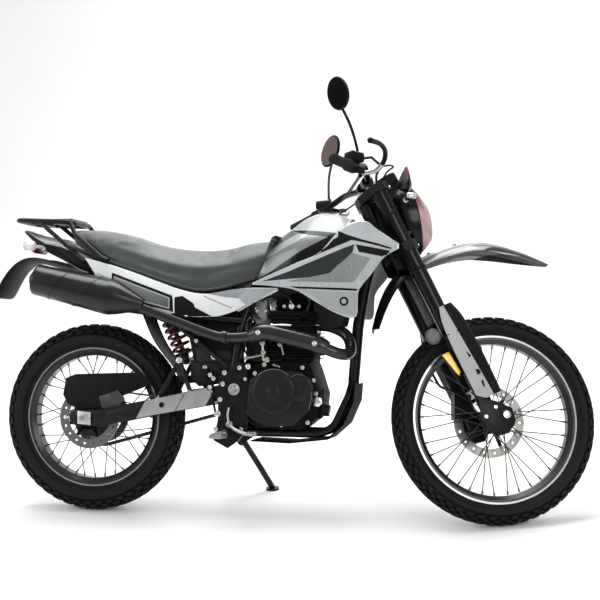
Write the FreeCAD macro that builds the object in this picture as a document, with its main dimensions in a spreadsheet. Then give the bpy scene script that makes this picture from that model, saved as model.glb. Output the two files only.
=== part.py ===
import FreeCAD, Part
import Sketcher
import os, math

# A trail motorcycle parked on its side stand.
# Everything is drawn on the upright machine: +X forward, +Y to its left, +Z up, origin on the
# ground midway between the axles, in millimetres. The last section leans it on to its stand.

V = FreeCAD.Vector
Rot = FreeCAD.Rotation
Pl = FreeCAD.Placement
os.makedirs("parts", exist_ok=True)
doc = FreeCAD.newDocument("trail_motorcycle")

# ---------------------------------------------------------------- driving dimensions
SIZES = [
    ("wheelbase", 1392), ("rake_angle", 27), ("trail_length", 105),
    ("rest_lean", 10.8), ("rest_steer", 23), ("rest_pitch", 0.2689), ("rest_lift", -2.32), ("rest_shift_x", 19.83), ("rest_shift_y", -206.43),
    ("front_tyre_radius", 348), ("front_tyre_half", 44), ("front_rim_radius", 280.5), ("front_rim_half", 25),
    ("rear_tyre_radius", 326), ("rear_tyre_half", 55), ("rear_rim_radius", 242.5), ("rear_rim_half", 32),
    ("rim_wall", 3.6), ("spoke_radius", 1.8), ("spoke_count", 36),
    ("front_axle_radius", 7.5), ("rear_axle_radius", 8.5), ("axle_hollow_radius", 5), ("bearing_gap", 0.05),
    ("front_disc_radius", 122), ("front_disc_inner", 92), ("rear_disc_radius", 108), ("rear_disc_inner", 76), ("disc_thickness", 4),
    ("sprocket_radius", 104), ("sprocket_thickness", 7), ("small_sprocket_radius", 34), ("chain_width", 14), ("chain_height", 15),
    ("fork_offset", 28.5), ("fork_half_track", 102), ("fork_outer_radius", 27), ("fork_inner_radius", 20.5), ("axle_lead", 36),
    ("upper_clamp_height", 1078), ("lower_clamp_height", 884), ("clamp_thickness", 32),
    ("head_tube_radius", 29), ("backbone_radius", 22), ("down_tube_radius", 19), ("cradle_radius", 14), ("stay_radius", 11),
    ("bar_radius", 11.1), ("grip_radius", 16.5), ("rack_radius", 8.5), ("rack_plate_thickness", 4), ("rack_hole_radius", 3.3), ("rack_bolt_circle", 120),
    ("pivot_height", 435), ("pivot_x", -165), ("pivot_radius", 8),
    ("arm_width", 26), ("plate_thickness", 8),
    ("clutch_cover_radius", 76), ("clutch_cover_depth", 44), ("case_half", 96), ("fin_count", 9), ("fin_pitch", 10.5), ("fin_thickness", 3.2),
    ("header_radius", 19), ("shield_radius", 30), ("muffler_radius", 62),
    ("panel_thickness", 4), ("fender_thickness", 4),
    ("stand_radius", 11), ("stand_pin_radius", 5), ("foot_radius", 24), ("foot_thickness", 7),
    ("cap_radius", 36), ("cap_thickness", 9),
]
sheet = doc.addObject("Spreadsheet::Sheet", "Sizes")
for i, (alias, value) in enumerate(SIZES, 1):
    sheet.set("A%d" % i, alias)
    sheet.set("B%d" % i, str(value))
    sheet.setAlias("B%d" % i, alias)
doc.recompute()


def S(alias):
    """A driving dimension, read from the sheet."""
    return float(getattr(sheet, alias))


def num(e):
    """The value of a number, or of an expression in the sheet's aliases."""
    if isinstance(e, (int, float)):
        return float(e)
    words = e.replace("(", " ( ").replace(")", " ) ").replace("*", " * ").replace("/", " / ").replace("+", " + ").replace("-", " - ").split()
    stack, ops = [], []
    prec = {"+": 1, "-": 1, "*": 2, "/": 2}

    def apply():
        o = ops.pop(); b = stack.pop(); a = stack.pop()
        stack.append(a + b if o == "+" else a - b if o == "-" else a * b if o == "*" else a / b)
    before = None
    for t in words:
        if t == "(":
            ops.append(t)
        elif t == ")":
            while ops[-1] != "(":
                apply()
            ops.pop()
        elif t in prec:
            if before is None or before in ("(", "+", "-", "*", "/"):
                stack.append(0.0)
            while ops and ops[-1] != "(" and prec[ops[-1]] >= prec[t]:
                apply()
            ops.append(t)
        else:
            stack.append(S(t[6:]) if t.startswith("Sizes.") else float(t))
        before = t
    while ops:
        apply()
    return stack[0]


# ---------------------------------------------------------------- how pieces are made
NODES = []          # (node name, object, group, local placement)


def node(name, obj, group, local=None):
    obj.Label = name
    NODES.append((name, obj, group, local or Pl()))
    return obj


def role(body, name):
    return [f for f in body.Origin.OriginFeatures if f.Role == name][0]


def new_body(name):
    return doc.addObject("PartDesign::Body", name)


def sketch(body, name, plane="YZ_Plane", offset=0.0, support=None):
    sk = body.newObject("Sketcher::SketchObject", name)
    sk.AttachmentSupport = [support] if support else [(role(body, plane), "")]
    sk.MapMode = "FlatFace"
    if offset:
        sk.AttachmentOffset = Pl(V(0, 0, offset), Rot())
    return sk


def profile(sk, points, arcs=None):
    """A closed outline. Each point is a pair of numbers or of sheet expressions; arcs gives the middle point of the runs that bend."""
    arcs = arcs or {}
    xy = [V(num(a), num(b), 0) for a, b in points]
    n = len(xy)
    for i in range(n):
        p, q = xy[i], xy[(i + 1) % n]
        if i in arcs:
            sk.addGeometry(Part.Arc(p, V(num(arcs[i][0]), num(arcs[i][1]), 0), q), False)
        else:
            sk.addGeometry(Part.LineSegment(p, q), False)
    for i in range(n):
        if i not in arcs and (i - 1) % n not in arcs:
            sk.addConstraint(Sketcher.Constraint("Coincident", (i - 1) % n, 2, i, 1))
    for i in range(n):
        if i in arcs or (i - 1) % n in arcs:
            continue
        for kind, e, v in (("DistanceX", points[i][0], xy[i].x), ("DistanceY", points[i][1], xy[i].y)):
            if isinstance(e, str) and abs(v) > 1e-6:
                c = sk.addConstraint(Sketcher.Constraint(kind, -1, 1, i, 1, v))
                sk.setExpression("Constraints[%d]" % c, e)
    return sk


def circles(sk, rows):
    """Full circles: (x, y, radius or expression)."""
    for x, y, r in rows:
        g = sk.addGeometry(Part.Circle(V(num(x), num(y), 0), V(0, 0, 1), num(r)), False)
        if isinstance(r, str):
            c = sk.addConstraint(Sketcher.Constraint("Radius", g, num(r)))
            sk.setExpression("Constraints[%d]" % c, r)
        if num(x) == 0 and num(y) == 0:
            sk.addConstraint(Sketcher.Constraint("Coincident", g, 3, -1, 1))
    return sk


def revolve(body, sk, name="Turned", axis="H_Axis"):
    r = body.newObject("PartDesign::Revolution", name)
    r.Profile = sk
    r.ReferenceAxis = (sk, [axis])
    r.Angle = 360
    body.Tip = r
    return r


def pad(body, sk, length, name="Pad", mid=False, back=False):
    p = body.newObject("PartDesign::Pad", name)
    p.Profile = sk
    if isinstance(length, str):
        p.Length = num(length)
        p.setExpression("Length", length)
    else:
        p.Length = length
    if mid:
        p.Midplane = True
    if back:
        p.Reversed = True
    body.Tip = p
    return p


def pocket(body, sk, length=None, name="Pocket", mid=True):
    p = body.newObject("PartDesign::Pocket", name)
    p.Profile = sk
    p.Midplane = mid
    if length is None:
        p.Type = 1
    else:
        p.Length = length
    body.Tip = p
    return p


def polar(body, feature, count, plane="XZ_Plane", name="Pattern"):
    m = body.newObject("PartDesign::PolarPattern", name)
    m.Originals = [feature]
    m.Axis = (role(body, {"XZ_Plane": "Y_Axis", "XY_Plane": "Z_Axis"}[plane]), [""])
    m.Angle = 360
    m.Occurrences = count
    body.Tip = m
    return m


def made(name, shape):
    """A piece whose shape is set here from the sheet's numbers."""
    o = doc.addObject("Part::Feature", name)
    o.Shape = shape
    return o


def path(points, radius):
    """Straight runs joined by tangent arcs. radius is one number or one per corner."""
    p = [V(*q) for q in points]
    n = len(p)
    rr = [radius] * (n - 2) if isinstance(radius, (int, float)) else list(radius)
    edges, at = [], p[0]
    for i in range(1, n - 1):
        a, b, c = p[i - 1], p[i], p[i + 1]
        u, w = (a - b).normalize(), (c - b).normalize()
        ang = math.pi - u.getAngle(w)
        if ang < 1e-3:
            continue
        r = min(rr[i - 1], 0.47 * min((a - b).Length, (c - b).Length) / math.tan(ang / 2))
        d = r * math.tan(ang / 2)
        s, e = b + u * d, b + w * d
        m = (u + w).normalize()
        mid = b + m * (math.hypot(r, d) - r)
        if (s - at).Length > 1e-6:
            edges.append(Part.LineSegment(at, s).toShape())
        edges.append(Part.Arc(s, mid, e).toShape())
        at = e
    edges.append(Part.LineSegment(at, p[-1]).toShape())
    return Part.Wire(edges)


def tube(points, r, bend=60, inner=0):
    """A round bar or tube along a path; its volume is compared with section times length."""
    w = path(points, bend)
    start = V(*points[0])
    direction = (V(*points[1]) - start).normalize()

    def run(rad):
        ring = Part.Wire([Part.makeCircle(rad, start, direction)])
        return w.makePipeShell([ring], True, True)
    solid = run(r)
    want = math.pi * r * r * w.Length
    if abs(solid.Volume - want) > 0.01 * want:
        raise RuntimeError("a tube came out wrong: %s" % (points,))
    if inner:
        solid = solid.cut(run(inner))
    return solid


def cyl(p, q, r):
    p, q = V(*p), V(*q)
    return Part.makeCylinder(r, (q - p).Length, p, q - p)


def fuse(*shapes):
    s = shapes[0]
    if len(shapes) > 1:
        s = s.multiFuse(list(shapes[1:]))
    return s.removeSplitter()


def both(shape):
    """The piece and its mirror image on the other side."""
    return Part.makeCompound([shape, shape.mirror(V(0, 0, 0), V(0, 1, 0))])


def flip(shape):
    return shape.mirror(V(0, 0, 0), V(0, 1, 0))


def spline(points, closed=False):
    c = Part.BSplineCurve()
    c.interpolate([V(*p) for p in points], PeriodicFlag=closed)
    return c.toShape()


def skin(rows, thick, inward, ruled=False):
    """A bent sheet: each row is a line of points across it, and inward(row, i) gives the way its thickness goes."""
    wires = []
    for k, row in enumerate(rows):
        inner = [(V(*p) + inward(k, i) * thick) for i, p in enumerate(row)]
        a = spline(row)
        b = spline([tuple(p) for p in reversed(inner)])
        e1 = Part.LineSegment(V(*row[-1]), inner[-1]).toShape()
        e2 = Part.LineSegment(inner[0], V(*row[0])).toShape()
        wires.append(Part.Wire([a, e1, b, e2]))
    return Part.makeLoft(wires, True, ruled)


def plate(points, y0, y1):
    """A flat plate cut to an outline in side view, from y0 to y1."""
    w = Part.makePolygon([V(x, y0, z) for x, z in points] + [V(points[0][0], y0, points[0][1])])
    return Part.Face(w).extrude(V(0, y1 - y0, 0))


def ring_section(x, zt, zb, wt, wm, wb, zm):
    """A closed body section at x: half-widths near the top, at zm and at the bottom."""
    pts = [(0, zt), (wt * .62, zt - (zt - zm) * .06), (wt, zt - (zt - zm) * .28), (wm * .985, zm + (zt - zm) * .28), (wm, zm - (zm - zb) * .2), (wb + (wm - wb) * .45, zb + (zm - zb) * .22), (wb * .8, zb + (zm - zb) * .02), (0, zb)]
    right = [(x, -y, z) for y, z in pts]
    left = [(x, y, z) for y, z in reversed(pts[1:-1])]
    return Part.Wire([spline(right + left, True)])


# ---------------------------------------------------------------- reference lines
WB = S("wheelbase")
FRONT = V(WB / 2, 0, S("front_tyre_radius"))
REAR = V(-WB / 2, 0, S("rear_tyre_radius"))
RAKE = math.radians(S("rake_angle"))
FOOT_OF_AXIS = V(WB / 2 + S("trail_length"), 0, 0)
UP = V(-math.sin(RAKE), 0, math.cos(RAKE))          # along the steering axis
FWD = V(math.cos(RAKE), 0, math.sin(RAKE))          # square to it, forward


def axis_at(z):
    return FOOT_OF_AXIS + UP * (z / math.cos(RAKE))


def leg_at(z, side=-1):
    """A point on a fork leg's centreline at height z."""
    p = axis_at(z) + FWD * S("fork_offset")
    p = p + UP * ((z - p.z) / UP.z)
    return V(p.x, side * S("fork_half_track"), z)


# ================================================================= WHEELS
def tyre(name, rad, half, rim, rimhalf, sag, inner):
    b = new_body(name)
    sk = sketch(b, name + "_section")
    t = rimhalf - S("rim_wall") - .4
    R, H, F = num("Sizes." + rad), num("Sizes." + half), num("Sizes." + rim)
    profile(sk, [(-t, F - 10.6), (t, F - 10.6), (t, F + 1), (rimhalf + 2, F + 4), (H * .89, R - sag), (-H * .89, R - sag), (-rimhalf - 2, F + 4), (-t, F + 1)],
            {3: (H, (F + R - sag) / 2 + 12), 4: (0, R), 5: (-H, (F + R - sag) / 2 + 12)})
    revolve(b, sk)
    return b


node("front_tyre", tyre("front_tyre", "front_tyre_radius", "front_tyre_half", "front_rim_radius", S("front_rim_half"), 25, 0), "front_wheel", Pl(FRONT, Rot()))
node("rear_tyre", tyre("rear_tyre", "rear_tyre_radius", "rear_tyre_half", "rear_rim_radius", S("rear_rim_half"), 31, 0), "rear_wheel", Pl(REAR, Rot()))


def rim(name, rad, half):
    b = new_body(name)
    sk = sketch(b, name + "_section")
    F, h = "Sizes." + rad, "Sizes." + half
    w = "Sizes.rim_wall"
    profile(sk, [(h, F), (h + "-" + w, F), (h + "-" + w, F + "-11"), (h + "-12", F + "-11"), (h + "-16", F + "-20"),
                 ("-" + h + "+16", F + "-20"), ("-" + h + "+12", F + "-11"), ("-" + h + "+" + w, F + "-11"), ("-" + h + "+" + w, F), ("-" + h, F),
                 ("-" + h, F + "-14"), ("-" + h + "+11", F + "-28"), (h + "-11", F + "-28"), (h, F + "-14")])
    revolve(b, sk)
    return b


node("front_rim", rim("front_rim", "front_rim_radius", "front_rim_half"), "front_wheel", Pl(FRONT, Rot()))
node("rear_rim", rim("rear_rim", "rear_rim_radius", "rear_rim_half"), "rear_wheel", Pl(REAR, Rot()))


def hub(name, axle, width, flange_y, flange_r, barrel, sides):
    b = new_body(name + "_turning")
    sk = sketch(b, name + "_section")
    bore = "Sizes." + axle + "+Sizes.bearing_gap"
    fy, fr, w = flange_y, flange_r, width
    right, left = sides
    profile(sk, [(-w, bore), (w, bore), (w, 17), (left + 1.5, 17), (left + 1.5, 34), (left - 3.5, 34), (left - 3.5, 22), (fy + 4, 22), (fy + 4, fr), (fy - 4, fr), (fy - 7, barrel),
                 (-fy + 7, barrel), (-fy + 4, fr), (-fy - 4, fr), (-fy - 4, 22), (right + 3.5, 22), (right + 3.5, 34), (right - 1.5, 34), (right - 1.5, 17), (-w, 17)])
    revolve(b, sk)
    return b


def laced(name, obj, fy, fr, rim_r, nip):
    """Hub with its wire spokes and their nipples, laced three-cross."""
    doc.recompute()
    base = obj.Shape
    out = []
    n = int(S("spoke_count"))
    r = S("spoke_radius")
    for i in range(n):
        th = math.radians(360.0 / n * i)
        side = 1 if i % 2 else -1
        lead = 1 if (i // 2) % 2 else -1
        ha = th - lead * math.radians(60)
        y0 = side * (fy + (3.0 if lead > 0 else -3.0))
        hr = fr - 4.5
        p = V(math.cos(ha) * hr, y0, math.sin(ha) * hr)
        q = V(math.cos(th) * rim_r, side * 3.0, math.sin(th) * rim_r)
        out.append(cyl(p, q, r))
        u = (q - p).normalize()
        out.append(cyl(q - u * nip, q, 3.1))
    s = base.multiFuse(out)
    o = made(name, s)
    return o


fh = hub("front_hub", "front_axle_radius", 58, 30, 33, 21, (-50, 50))
node("front_hub", laced("front_hub", fh, 30, 33, S("front_rim_radius") - 29.6, 12), "front_wheel", Pl(FRONT, Rot()))
rh = hub("rear_hub", "rear_axle_radius", 74, 34, 68, 62, (-62, 65))
node("rear_hub", laced("rear_hub", rh, 34, 68, S("rear_rim_radius") - 29.6, 12), "rear_wheel", Pl(REAR, Rot()))


def disc(name, rad, inner, y, arms, bolt):
    b = new_body(name)
    sk = sketch(b, name + "_ring", "XZ_Plane", -y)
    circles(sk, [(0, 0, "Sizes." + rad), (0, 0, "Sizes." + inner)])
    pad(b, sk, "Sizes.disc_thickness", "Ring", mid=True)
    sk2 = sketch(b, name + "_carrier", "XZ_Plane", -y)
    circles(sk2, [(0, 0, bolt + 8), (0, 0, 18)])
    pad(b, sk2, "Sizes.disc_thickness", "Carrier", mid=True)
    R = S(inner) + 6
    sk3 = sketch(b, name + "_arm", "XZ_Plane", -y)
    profile(sk3, [(bolt, -6), (R, -14), (R, -2), (bolt, 8)])
    a = pad(b, sk3, "Sizes.disc_thickness", "Arm", mid=True)
    polar(b, a, arms)
    sk4 = sketch(b, name + "_hole", "XZ_Plane", -y)
    circles(sk4, [((S(rad) + S(inner)) / 2, 0, 4.5)])
    h = pocket(b, sk4, 20, "Hole")
    polar(b, h, 18, name="Holes")
    return b


node("front_brake_disc", disc("front_brake_disc", "front_disc_radius", "front_disc_inner", 53.5, 6, 34), "front_wheel", Pl(FRONT, Rot()))
node("rear_brake_disc", disc("rear_brake_disc", "rear_disc_radius", "rear_disc_inner", -65.5, 6, 34), "rear_wheel", Pl(REAR, Rot()))

CHAIN_Y = 70.0


def sprocket():
    b = new_body("rear_sprocket")
    sk = sketch(b, "sprocket_ring", "XZ_Plane", -CHAIN_Y)
    circles(sk, [(0, 0, "Sizes.sprocket_radius-8"), (0, 0, 72)])
    pad(b, sk, "Sizes.sprocket_thickness", "Ring", mid=True)
    sk2 = sketch(b, "sprocket_carrier", "XZ_Plane", -CHAIN_Y)
    circles(sk2, [(0, 0, 44), (0, 0, 18)])
    pad(b, sk2, "Sizes.sprocket_thickness", "Carrier", mid=True)
    sk3 = sketch(b, "sprocket_arm", "XZ_Plane", -CHAIN_Y)
    profile(sk3, [(38, -11), (78, -9), (78, 9), (38, 11)])
    a = pad(b, sk3, "Sizes.sprocket_thickness", "Arm", mid=True)
    polar(b, a, 6)
    return b


node("rear_sprocket", sprocket(), "rear_wheel", Pl(REAR, Rot()))

# ================================================================= AXLES
fa = doc.addObject("Part::Cylinder", "front_axle_bar")
fa.setExpression("Radius", "Sizes.front_axle_radius")
fa.setExpression("Height", "Sizes.fork_half_track * 2 + 44")
fc = doc.addObject("Part::Cylinder", "front_axle_hollow")
fc.setExpression("Radius", "Sizes.axle_hollow_radius")
fc.setExpression("Height", "Sizes.fork_half_track * 2 + 44")
fax = doc.addObject("Part::Cut", "front_axle")
fax.Base, fax.Tool = fa, fc
node("front_axle", fax, "steering", Pl(FRONT + V(0, S("fork_half_track") + 22, 0), Rot(V(1, 0, 0), 90)))
ra = doc.addObject("Part::Cylinder", "rear_axle")
ra.setExpression("Radius", "Sizes.rear_axle_radius")
ra.Height = 280
node("rear_axle", ra, "chassis", Pl(REAR + V(0, 140, 0), Rot(V(1, 0, 0), 90)))

# ================================================================= FORK AND STEERING
HT = S("fork_half_track")
ZU, ZL, CT = S("upper_clamp_height"), S("lower_clamp_height"), S("clamp_thickness")


def clamp_plate(z, thick, bridge):
    """One triple clamp, drawn square to the steering axis and bored for the legs."""
    b = new_body("clamp_%d" % int(z))
    sk = sketch(b, "clamp_outline_%d" % int(z), "XY_Plane")
    o, h = S("fork_offset"), HT
    R = S("fork_outer_radius") + 9
    profile(sk, [(-25, -26), (o - 22, -h - R), (o + 14, -h - R), (o + R, -h - 12), (o + R, -h + 26), (bridge, -46), (bridge, 46), (o + R, h - 26), (o + R, h + 12), (o + 14, h + R), (o - 22, h + R), (-25, 26)])
    pad(b, sk, thick, mid=True)
    sk2 = sketch(b, "leg_bores_%d" % int(z), "XY_Plane")
    circles(sk2, [(o, -h, "Sizes.fork_outer_radius"), (o, h, "Sizes.fork_outer_radius")])
    pocket(b, sk2, 200, "Bores")
    return b


up_rot = Rot(V(0, 1, 0), -S("rake_angle"))
cu = clamp_plate(ZU, "Sizes.clamp_thickness-4", 38)
cl = clamp_plate(ZL, "Sizes.clamp_thickness", 44)
cu.Placement = Pl(axis_at(ZU), up_rot)
cl.Placement = Pl(axis_at(ZL), up_rot)
doc.recompute()
stem = cyl(axis_at(ZL), axis_at(ZU), 13)
node("triple_clamps", made("triple_clamps", fuse(cu.Shape, cl.Shape, stem)), "steering")

AXLE_LEG = leg_at(FRONT.z)      # the leg's line at axle height


def leg_upper(side):
    return cyl(leg_at(1100, side), leg_at(600, side), S("fork_outer_radius"))


def leg_lower(side):
    """Inner tube with its forged foot, which holds the axle ahead of the leg."""
    a, b = leg_at(600, side), leg_at(395, side)
    s = cyl(a, b, S("fork_inner_radius"))
    foot_top, foot_low = leg_at(410, side), leg_at(330, side)
    y = side * HT
    f = cyl(foot_top, foot_low, 25)
    boss = Part.makeCylinder(24, 44, V(FRONT.x, y - 22, FRONT.z), V(0, 1, 0))
    web = plate([(foot_top.x + 4, foot_top.z - 6), (FRONT.x + 14, FRONT.z + 20), (FRONT.x + 12, FRONT.z - 20), (foot_low.x + 6, foot_low.z + 2)], y - 15, y + 15)
    s = fuse(s, f, boss, web)
    hole = Part.makeCylinder(S("front_axle_radius"), 80, V(FRONT.x, y - 40, FRONT.z), V(0, 1, 0))
    return s.cut(hole)


node("fork_outer_tubes", made("fork_outer_tubes", Part.makeCompound([leg_upper(-1), leg_upper(1)])), "steering")
node("fork_inner_tubes", made("fork_inner_tubes", Part.makeCompound([leg_lower(-1), leg_lower(1)])), "steering")


def fork_guard(side):
    """Moulded guard round the front and outside of the inner tube."""
    y = side * HT
    rows = []
    for z, wf, wb, out in [(694, 46, 6, 36), (646, 60, 20, 38), (560, 66, 26, 38), (470, 66, 26, 38), (400, 64, 26, 38)]:
        c = leg_at(z, side)
        n = FWD
        o = V(0, side, 0)
        pts = [c - n * wb + o * out, c - n * (wb * .1) + o * (out + 2), c + n * (wf * .55) + o * (out - 4), c + n * wf + o * (out - 20), c + n * (wf + 1) + o * 2, c + n * (wf - 6) - o * 22]
        rows.append([tuple(p) for p in pts])

    def inw(k, i):
        o = V(0, side, 0)
        v = [-o, -o, (-o - FWD * .8), (-FWD - o * .5), -FWD, (-FWD + o * .3)][i]
        return V(v).normalize()
    s = skin(rows, 3.5, inw)
    # foot of the guard, over the axle lug
    foot = plate([(608, 402), (664, 392), (716, 372), (728, 330), (706, 290), (660, 276), (612, 338)], y + side * 32, y + side * 36)
    low = leg_at(402, side)
    return fuse(s, foot)


guards = Part.makeCompound([fork_guard(-1), fork_guard(1)])
node("fork_guards", made("fork_guards", guards), "steering")

# handlebar: on two risers above the upper clamp, wide, swept back
ct = axis_at(ZU + 46)
BAR_C = V(ct.x + 24, 0, ct.z + 6)
half = [(BAR_C.x, 0, BAR_C.z), (BAR_C.x, -60, BAR_C.z), (BAR_C.x - 34, -170, BAR_C.z + 14), (BAR_C.x - 88, -262, BAR_C.z - 16), (BAR_C.x - 180, -412, BAR_C.z - 42)]
full = [(x, -y, z) for x, y, z in reversed(half[1:])] + half[1:]
bar = tube(full, S("bar_radius"), [60, 90, 60, 60, 90, 60])
brace = cyl((BAR_C.x - 30, -158, BAR_C.z + 13), (BAR_C.x - 30, 158, BAR_C.z + 13), 6)
risers = []
for s_ in (-1, 1):
    base = axis_at(ZU) + UP * (CT / 2 - 2) + FWD * 24
    risers.append(cyl((base.x, s_ * 40, base.z), (BAR_C.x, s_ * 40, BAR_C.z), 14))
    risers.append(Part.makeCylinder(20, 30, V(BAR_C.x, s_ * 40 - 15, BAR_C.z), V(0, 1, 0)))
node("handlebar", made("handlebar", fuse(bar, brace, *risers)), "steering")

gdir = (V(*half[4]) - V(*half[3])).normalize()
g0 = V(*half[4]) - gdir * 126
gripr = cyl(tuple(g0), tuple(V(*half[4]) + gdir * 6), S("grip_radius"))
gripr = fuse(gripr, cyl(tuple(g0), tuple(g0 + gdir * 5), 22))
gripr = gripr.cut(cyl(tuple(g0 - gdir * 20), tuple(V(*half[4])), S("bar_radius")))
node("grips", made("grips", both(gripr)), "steering")


# hand controls: switch housing and perch on the bar, with a bent lever ahead of the grip
h0 = g0 - gdir * 50
hc = (h0 + g0) * .5
hs = cyl(tuple(h0), tuple(g0 - gdir * 2), 21)
res = Part.makeBox(52, 44, 30, V(-20, -22, 0))
res.Placement = Pl(V(hc.x + 12, hc.y + 6, hc.z + 14), Rot(V(0, 0, 1), 28))
perch = cyl((hc.x + 6, hc.y + 12, hc.z - 6), (hc.x + 46, hc.y + 2, hc.z - 12), 11)
ctrl = fuse(hs, res, perch).cut(cyl(tuple(h0 - gdir * 30), tuple(g0 + gdir * 30), S("bar_radius")))
node("hand_controls", made("hand_controls", both(ctrl)), "steering")
lev = tube([(188, -252, 1092), (214, -258, 1094), (262, -282, 1112), (262, -330, 1140), (228, -385, 1148), (180, -440, 1138)], 8, 34)
lev = fuse(lev, Part.makeSphere(10, V(180, -440, 1138))).cut(ctrl)
lev = max(lev.Solids, key=lambda q: q.Volume)
node("hand_levers", made("hand_levers", both(lev)), "steering")


def mirror(side, c, bend):
    """Oval mirror on a thin cranked stem; both glasses are turned towards the machine's right."""
    m0 = V(178, side * 262, 1130)
    st = tube([tuple(m0), (m0.x - 2, m0.y + side * 2, m0.z + 30), bend, (c.x, c.y - side * 8, c.z - 30)], 4.6, 40)
    boss = cyl(tuple(m0 - V(0, 0, 8)), (m0.x - 1, m0.y + side * 1, m0.z + 26), 8)
    rings = []
    for x, a, b in [(-6, 44, 62), (0, 46.5, 65), (8, 42, 59), (14, 33, 47), (19, 17, 25)]:
        w = Part.Wire([Part.Ellipse(V(0, 0, 0), b, a).toShape()])
        w.Placement = Pl(V(x, 0, 0), Rot(V(0, 1, 0), 90))
        rings.append(w)
    egg = Part.makeLoft(rings, True, False)
    egg.Placement = Pl(c, Rot(V(0, 0, 1), 36).multiply(Rot(V(1, 0, 0), 24 * side)))
    return fuse(st, boss, egg)


mir_r = mirror(-1, V(92, -368, 1312), (142, -318, 1225))
mir_l = mirror(1, V(196, 352, 1368), (186, 318, 1262))
node("mirrors", made("mirrors", Part.makeCompound([mir_r.cut(ctrl), mir_l.cut(flip(ctrl))])), "steering")

# instrument pod behind the headlight
pod = Part.makeCylinder(38, 44, V(0, 0, 0), V(0, 0, 1))
pod2 = Part.makeCylinder(28, 44, V(0, 0, 0), V(0, 0, 1))
pod.Placement = Pl(V(338, -30, 1116), Rot(V(0, 1, 0), -32))
pod2.Placement = Pl(V(338, 44, 1116), Rot(V(0, 1, 0), -32))
podb = Part.makeBox(62, 118, 18, V(-31, -62, -14))
podb.Placement = Pl(V(340, 0, 1120), Rot(V(0, 1, 0), -32))
node("instruments", made("instruments", fuse(pod, pod2, podb)), "steering")


# headlight unit: shell round the lamp with a small screen above, lens bulging in front
def lamp_sections(rows, closed_front=None):
    wires = []
    for x, zc, hw, hh, lean in rows:
        pts = []
        for k in range(16):
            a = 2 * math.pi * k / 16
            c, s_ = math.cos(a), math.sin(a)
            e = 0.86
            yy = hw * math.copysign(abs(c) ** e, c) * (1 - .16 * max(0, -s_))
            zz = hh * math.copysign(abs(s_) ** e, s_)
            pts.append((x - lean * zz, yy, zc + zz))
        wires.append(Part.Wire([spline(pts, True)]))
    return Part.makeLoft(wires, True, False)


shell = lamp_sections([(346, 1026, 70, 84, .20), (372, 1018, 88, 112, .20), (418, 1022, 96, 124, .23)])
cowl = []
for z, hw, xf, xb in [(1104, 82, 414, 360), (1138, 72, 416, 370), (1164, 54, 412, 380), (1188, 34, 407, 388), (1207, 12, 403, 395)]:
    half_ = [(xb, -hw * .82), (xb + (xf - xb) * .42, -hw), (xf - (xf - xb) * .2, -hw * .56)]
    loop_ = [V(x, y, z) for x, y in half_ + [(xf, 0)] + [(x, -y) for x, y in reversed(half_)]]
    cowl.append(Part.Wire(Part.makePolygon(loop_ + loop_[:1])))
screen = Part.makeLoft(cowl, True, True)
brk = Part.makeCompound([cyl((372, s_ * 66, 985), (leg_at(975, 1).x + 10, s_ * 84, 975), 7) for s_ in (-1, 1)])
brk2 = [cyl((368, s_ * 60, 1045), (leg_at(1030, 1).x + 14, s_ * 84, 1030), 7) for s_ in (-1, 1)]
lens = lamp_sections([(419.3, 1022, 88, 116, .23), (444, 1018, 76, 100, .21), (480, 1006, 40, 56, .16)])
hs_ = fuse(shell, screen, *brk2)
hs_ = fuse(hs_, brk.Solids[0], brk.Solids[1])
legs_ = Part.makeCompound([leg_upper(-1), leg_upper(1)])
hs_ = hs_.cut(legs_).cut(lens)
hs_ = max(hs_.Solids, key=lambda q: q.Volume)
node("headlight_shell", made("headlight_shell", hs_), "steering")
node("headlight_lens", made("headlight_lens", lens), "steering")


# front fender: one long arched sheet from behind the fork, under the lower clamp, to the tip
def arch_sheet(rows, thick):
    """rows: (x, z, half width, drop at the edge, slope angle) along the centreline."""
    lines, nrm = [], []
    for x, z, hw, drop, ang in rows:
        n = V(-math.sin(math.radians(ang)), 0, math.cos(math.radians(ang)))
        pts = []
        for t in (-1, -.82, -.5, 0, .5, .82, 1):
            d = drop * abs(t) ** 2.6
            pts.append(tuple(V(x, hw * t * (1 - .04 * abs(t)), z) - n * d))
        lines.append(pts)
        nrm.append(n)
    return skin(lines, thick, lambda k, i: V(-nrm[k].x, 0, -nrm[k].z) if i not in (0, 6) else V(-nrm[k].x, (.5 if i == 0 else -.5), -nrm[k].z).normalize())


FT = S("fender_thickness")
ff = arch_sheet([(283, 632, 46, 12, 72), (300, 700, 54, 18, 68), (326, 768, 60, 24, 60), (368, 828, 62, 26, 48), (440, 882, 66, 32, 34), (530, 926, 72, 38, 22), (622, 950, 76, 40, 6), (710, 944, 72, 34, -10), (800, 922, 56, 22, -17), (868, 899, 32, 8, -19), (896, 889, 14, 2, -20)], FT)
fb = [cyl(tuple(axis_at(ZL) - UP * 15 + FWD * 6 + V(0, s_ * 38, 0)), tuple(V(axis_at(ZL).x + 22, s_ * 38, 816)), 7) for s_ in (-1, 1)]
node("front_fender", made("front_fender", fuse(ff, *fb).cut(cl.Shape)), "steering")

# front turn signals: short stalks out of the sides of the headlight brackets
def signal(x, y, z, side, dx, r=17, l=40, stalk=46):
    stem_ = cyl((x, y, z), (x + dx, y + side * stalk, z), 5.5)
    c = (x + dx - l * .45, y + side * (stalk + 12), z)
    bodyl = cyl(c, (c[0] + l, c[1], c[2]), r)
    bodyl = bodyl.makeFillet(7, bodyl.Edges)
    return fuse(stem_, bodyl)


fsig = signal(374, -80, 1062, -1, 6, 11, 36, 50).cut(hs_).cut(legs_)
fsig = max(fsig.Solids, key=lambda q: q.Volume)
node("front_turn_signals", made("front_turn_signals", both(fsig)), "steering")

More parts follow.
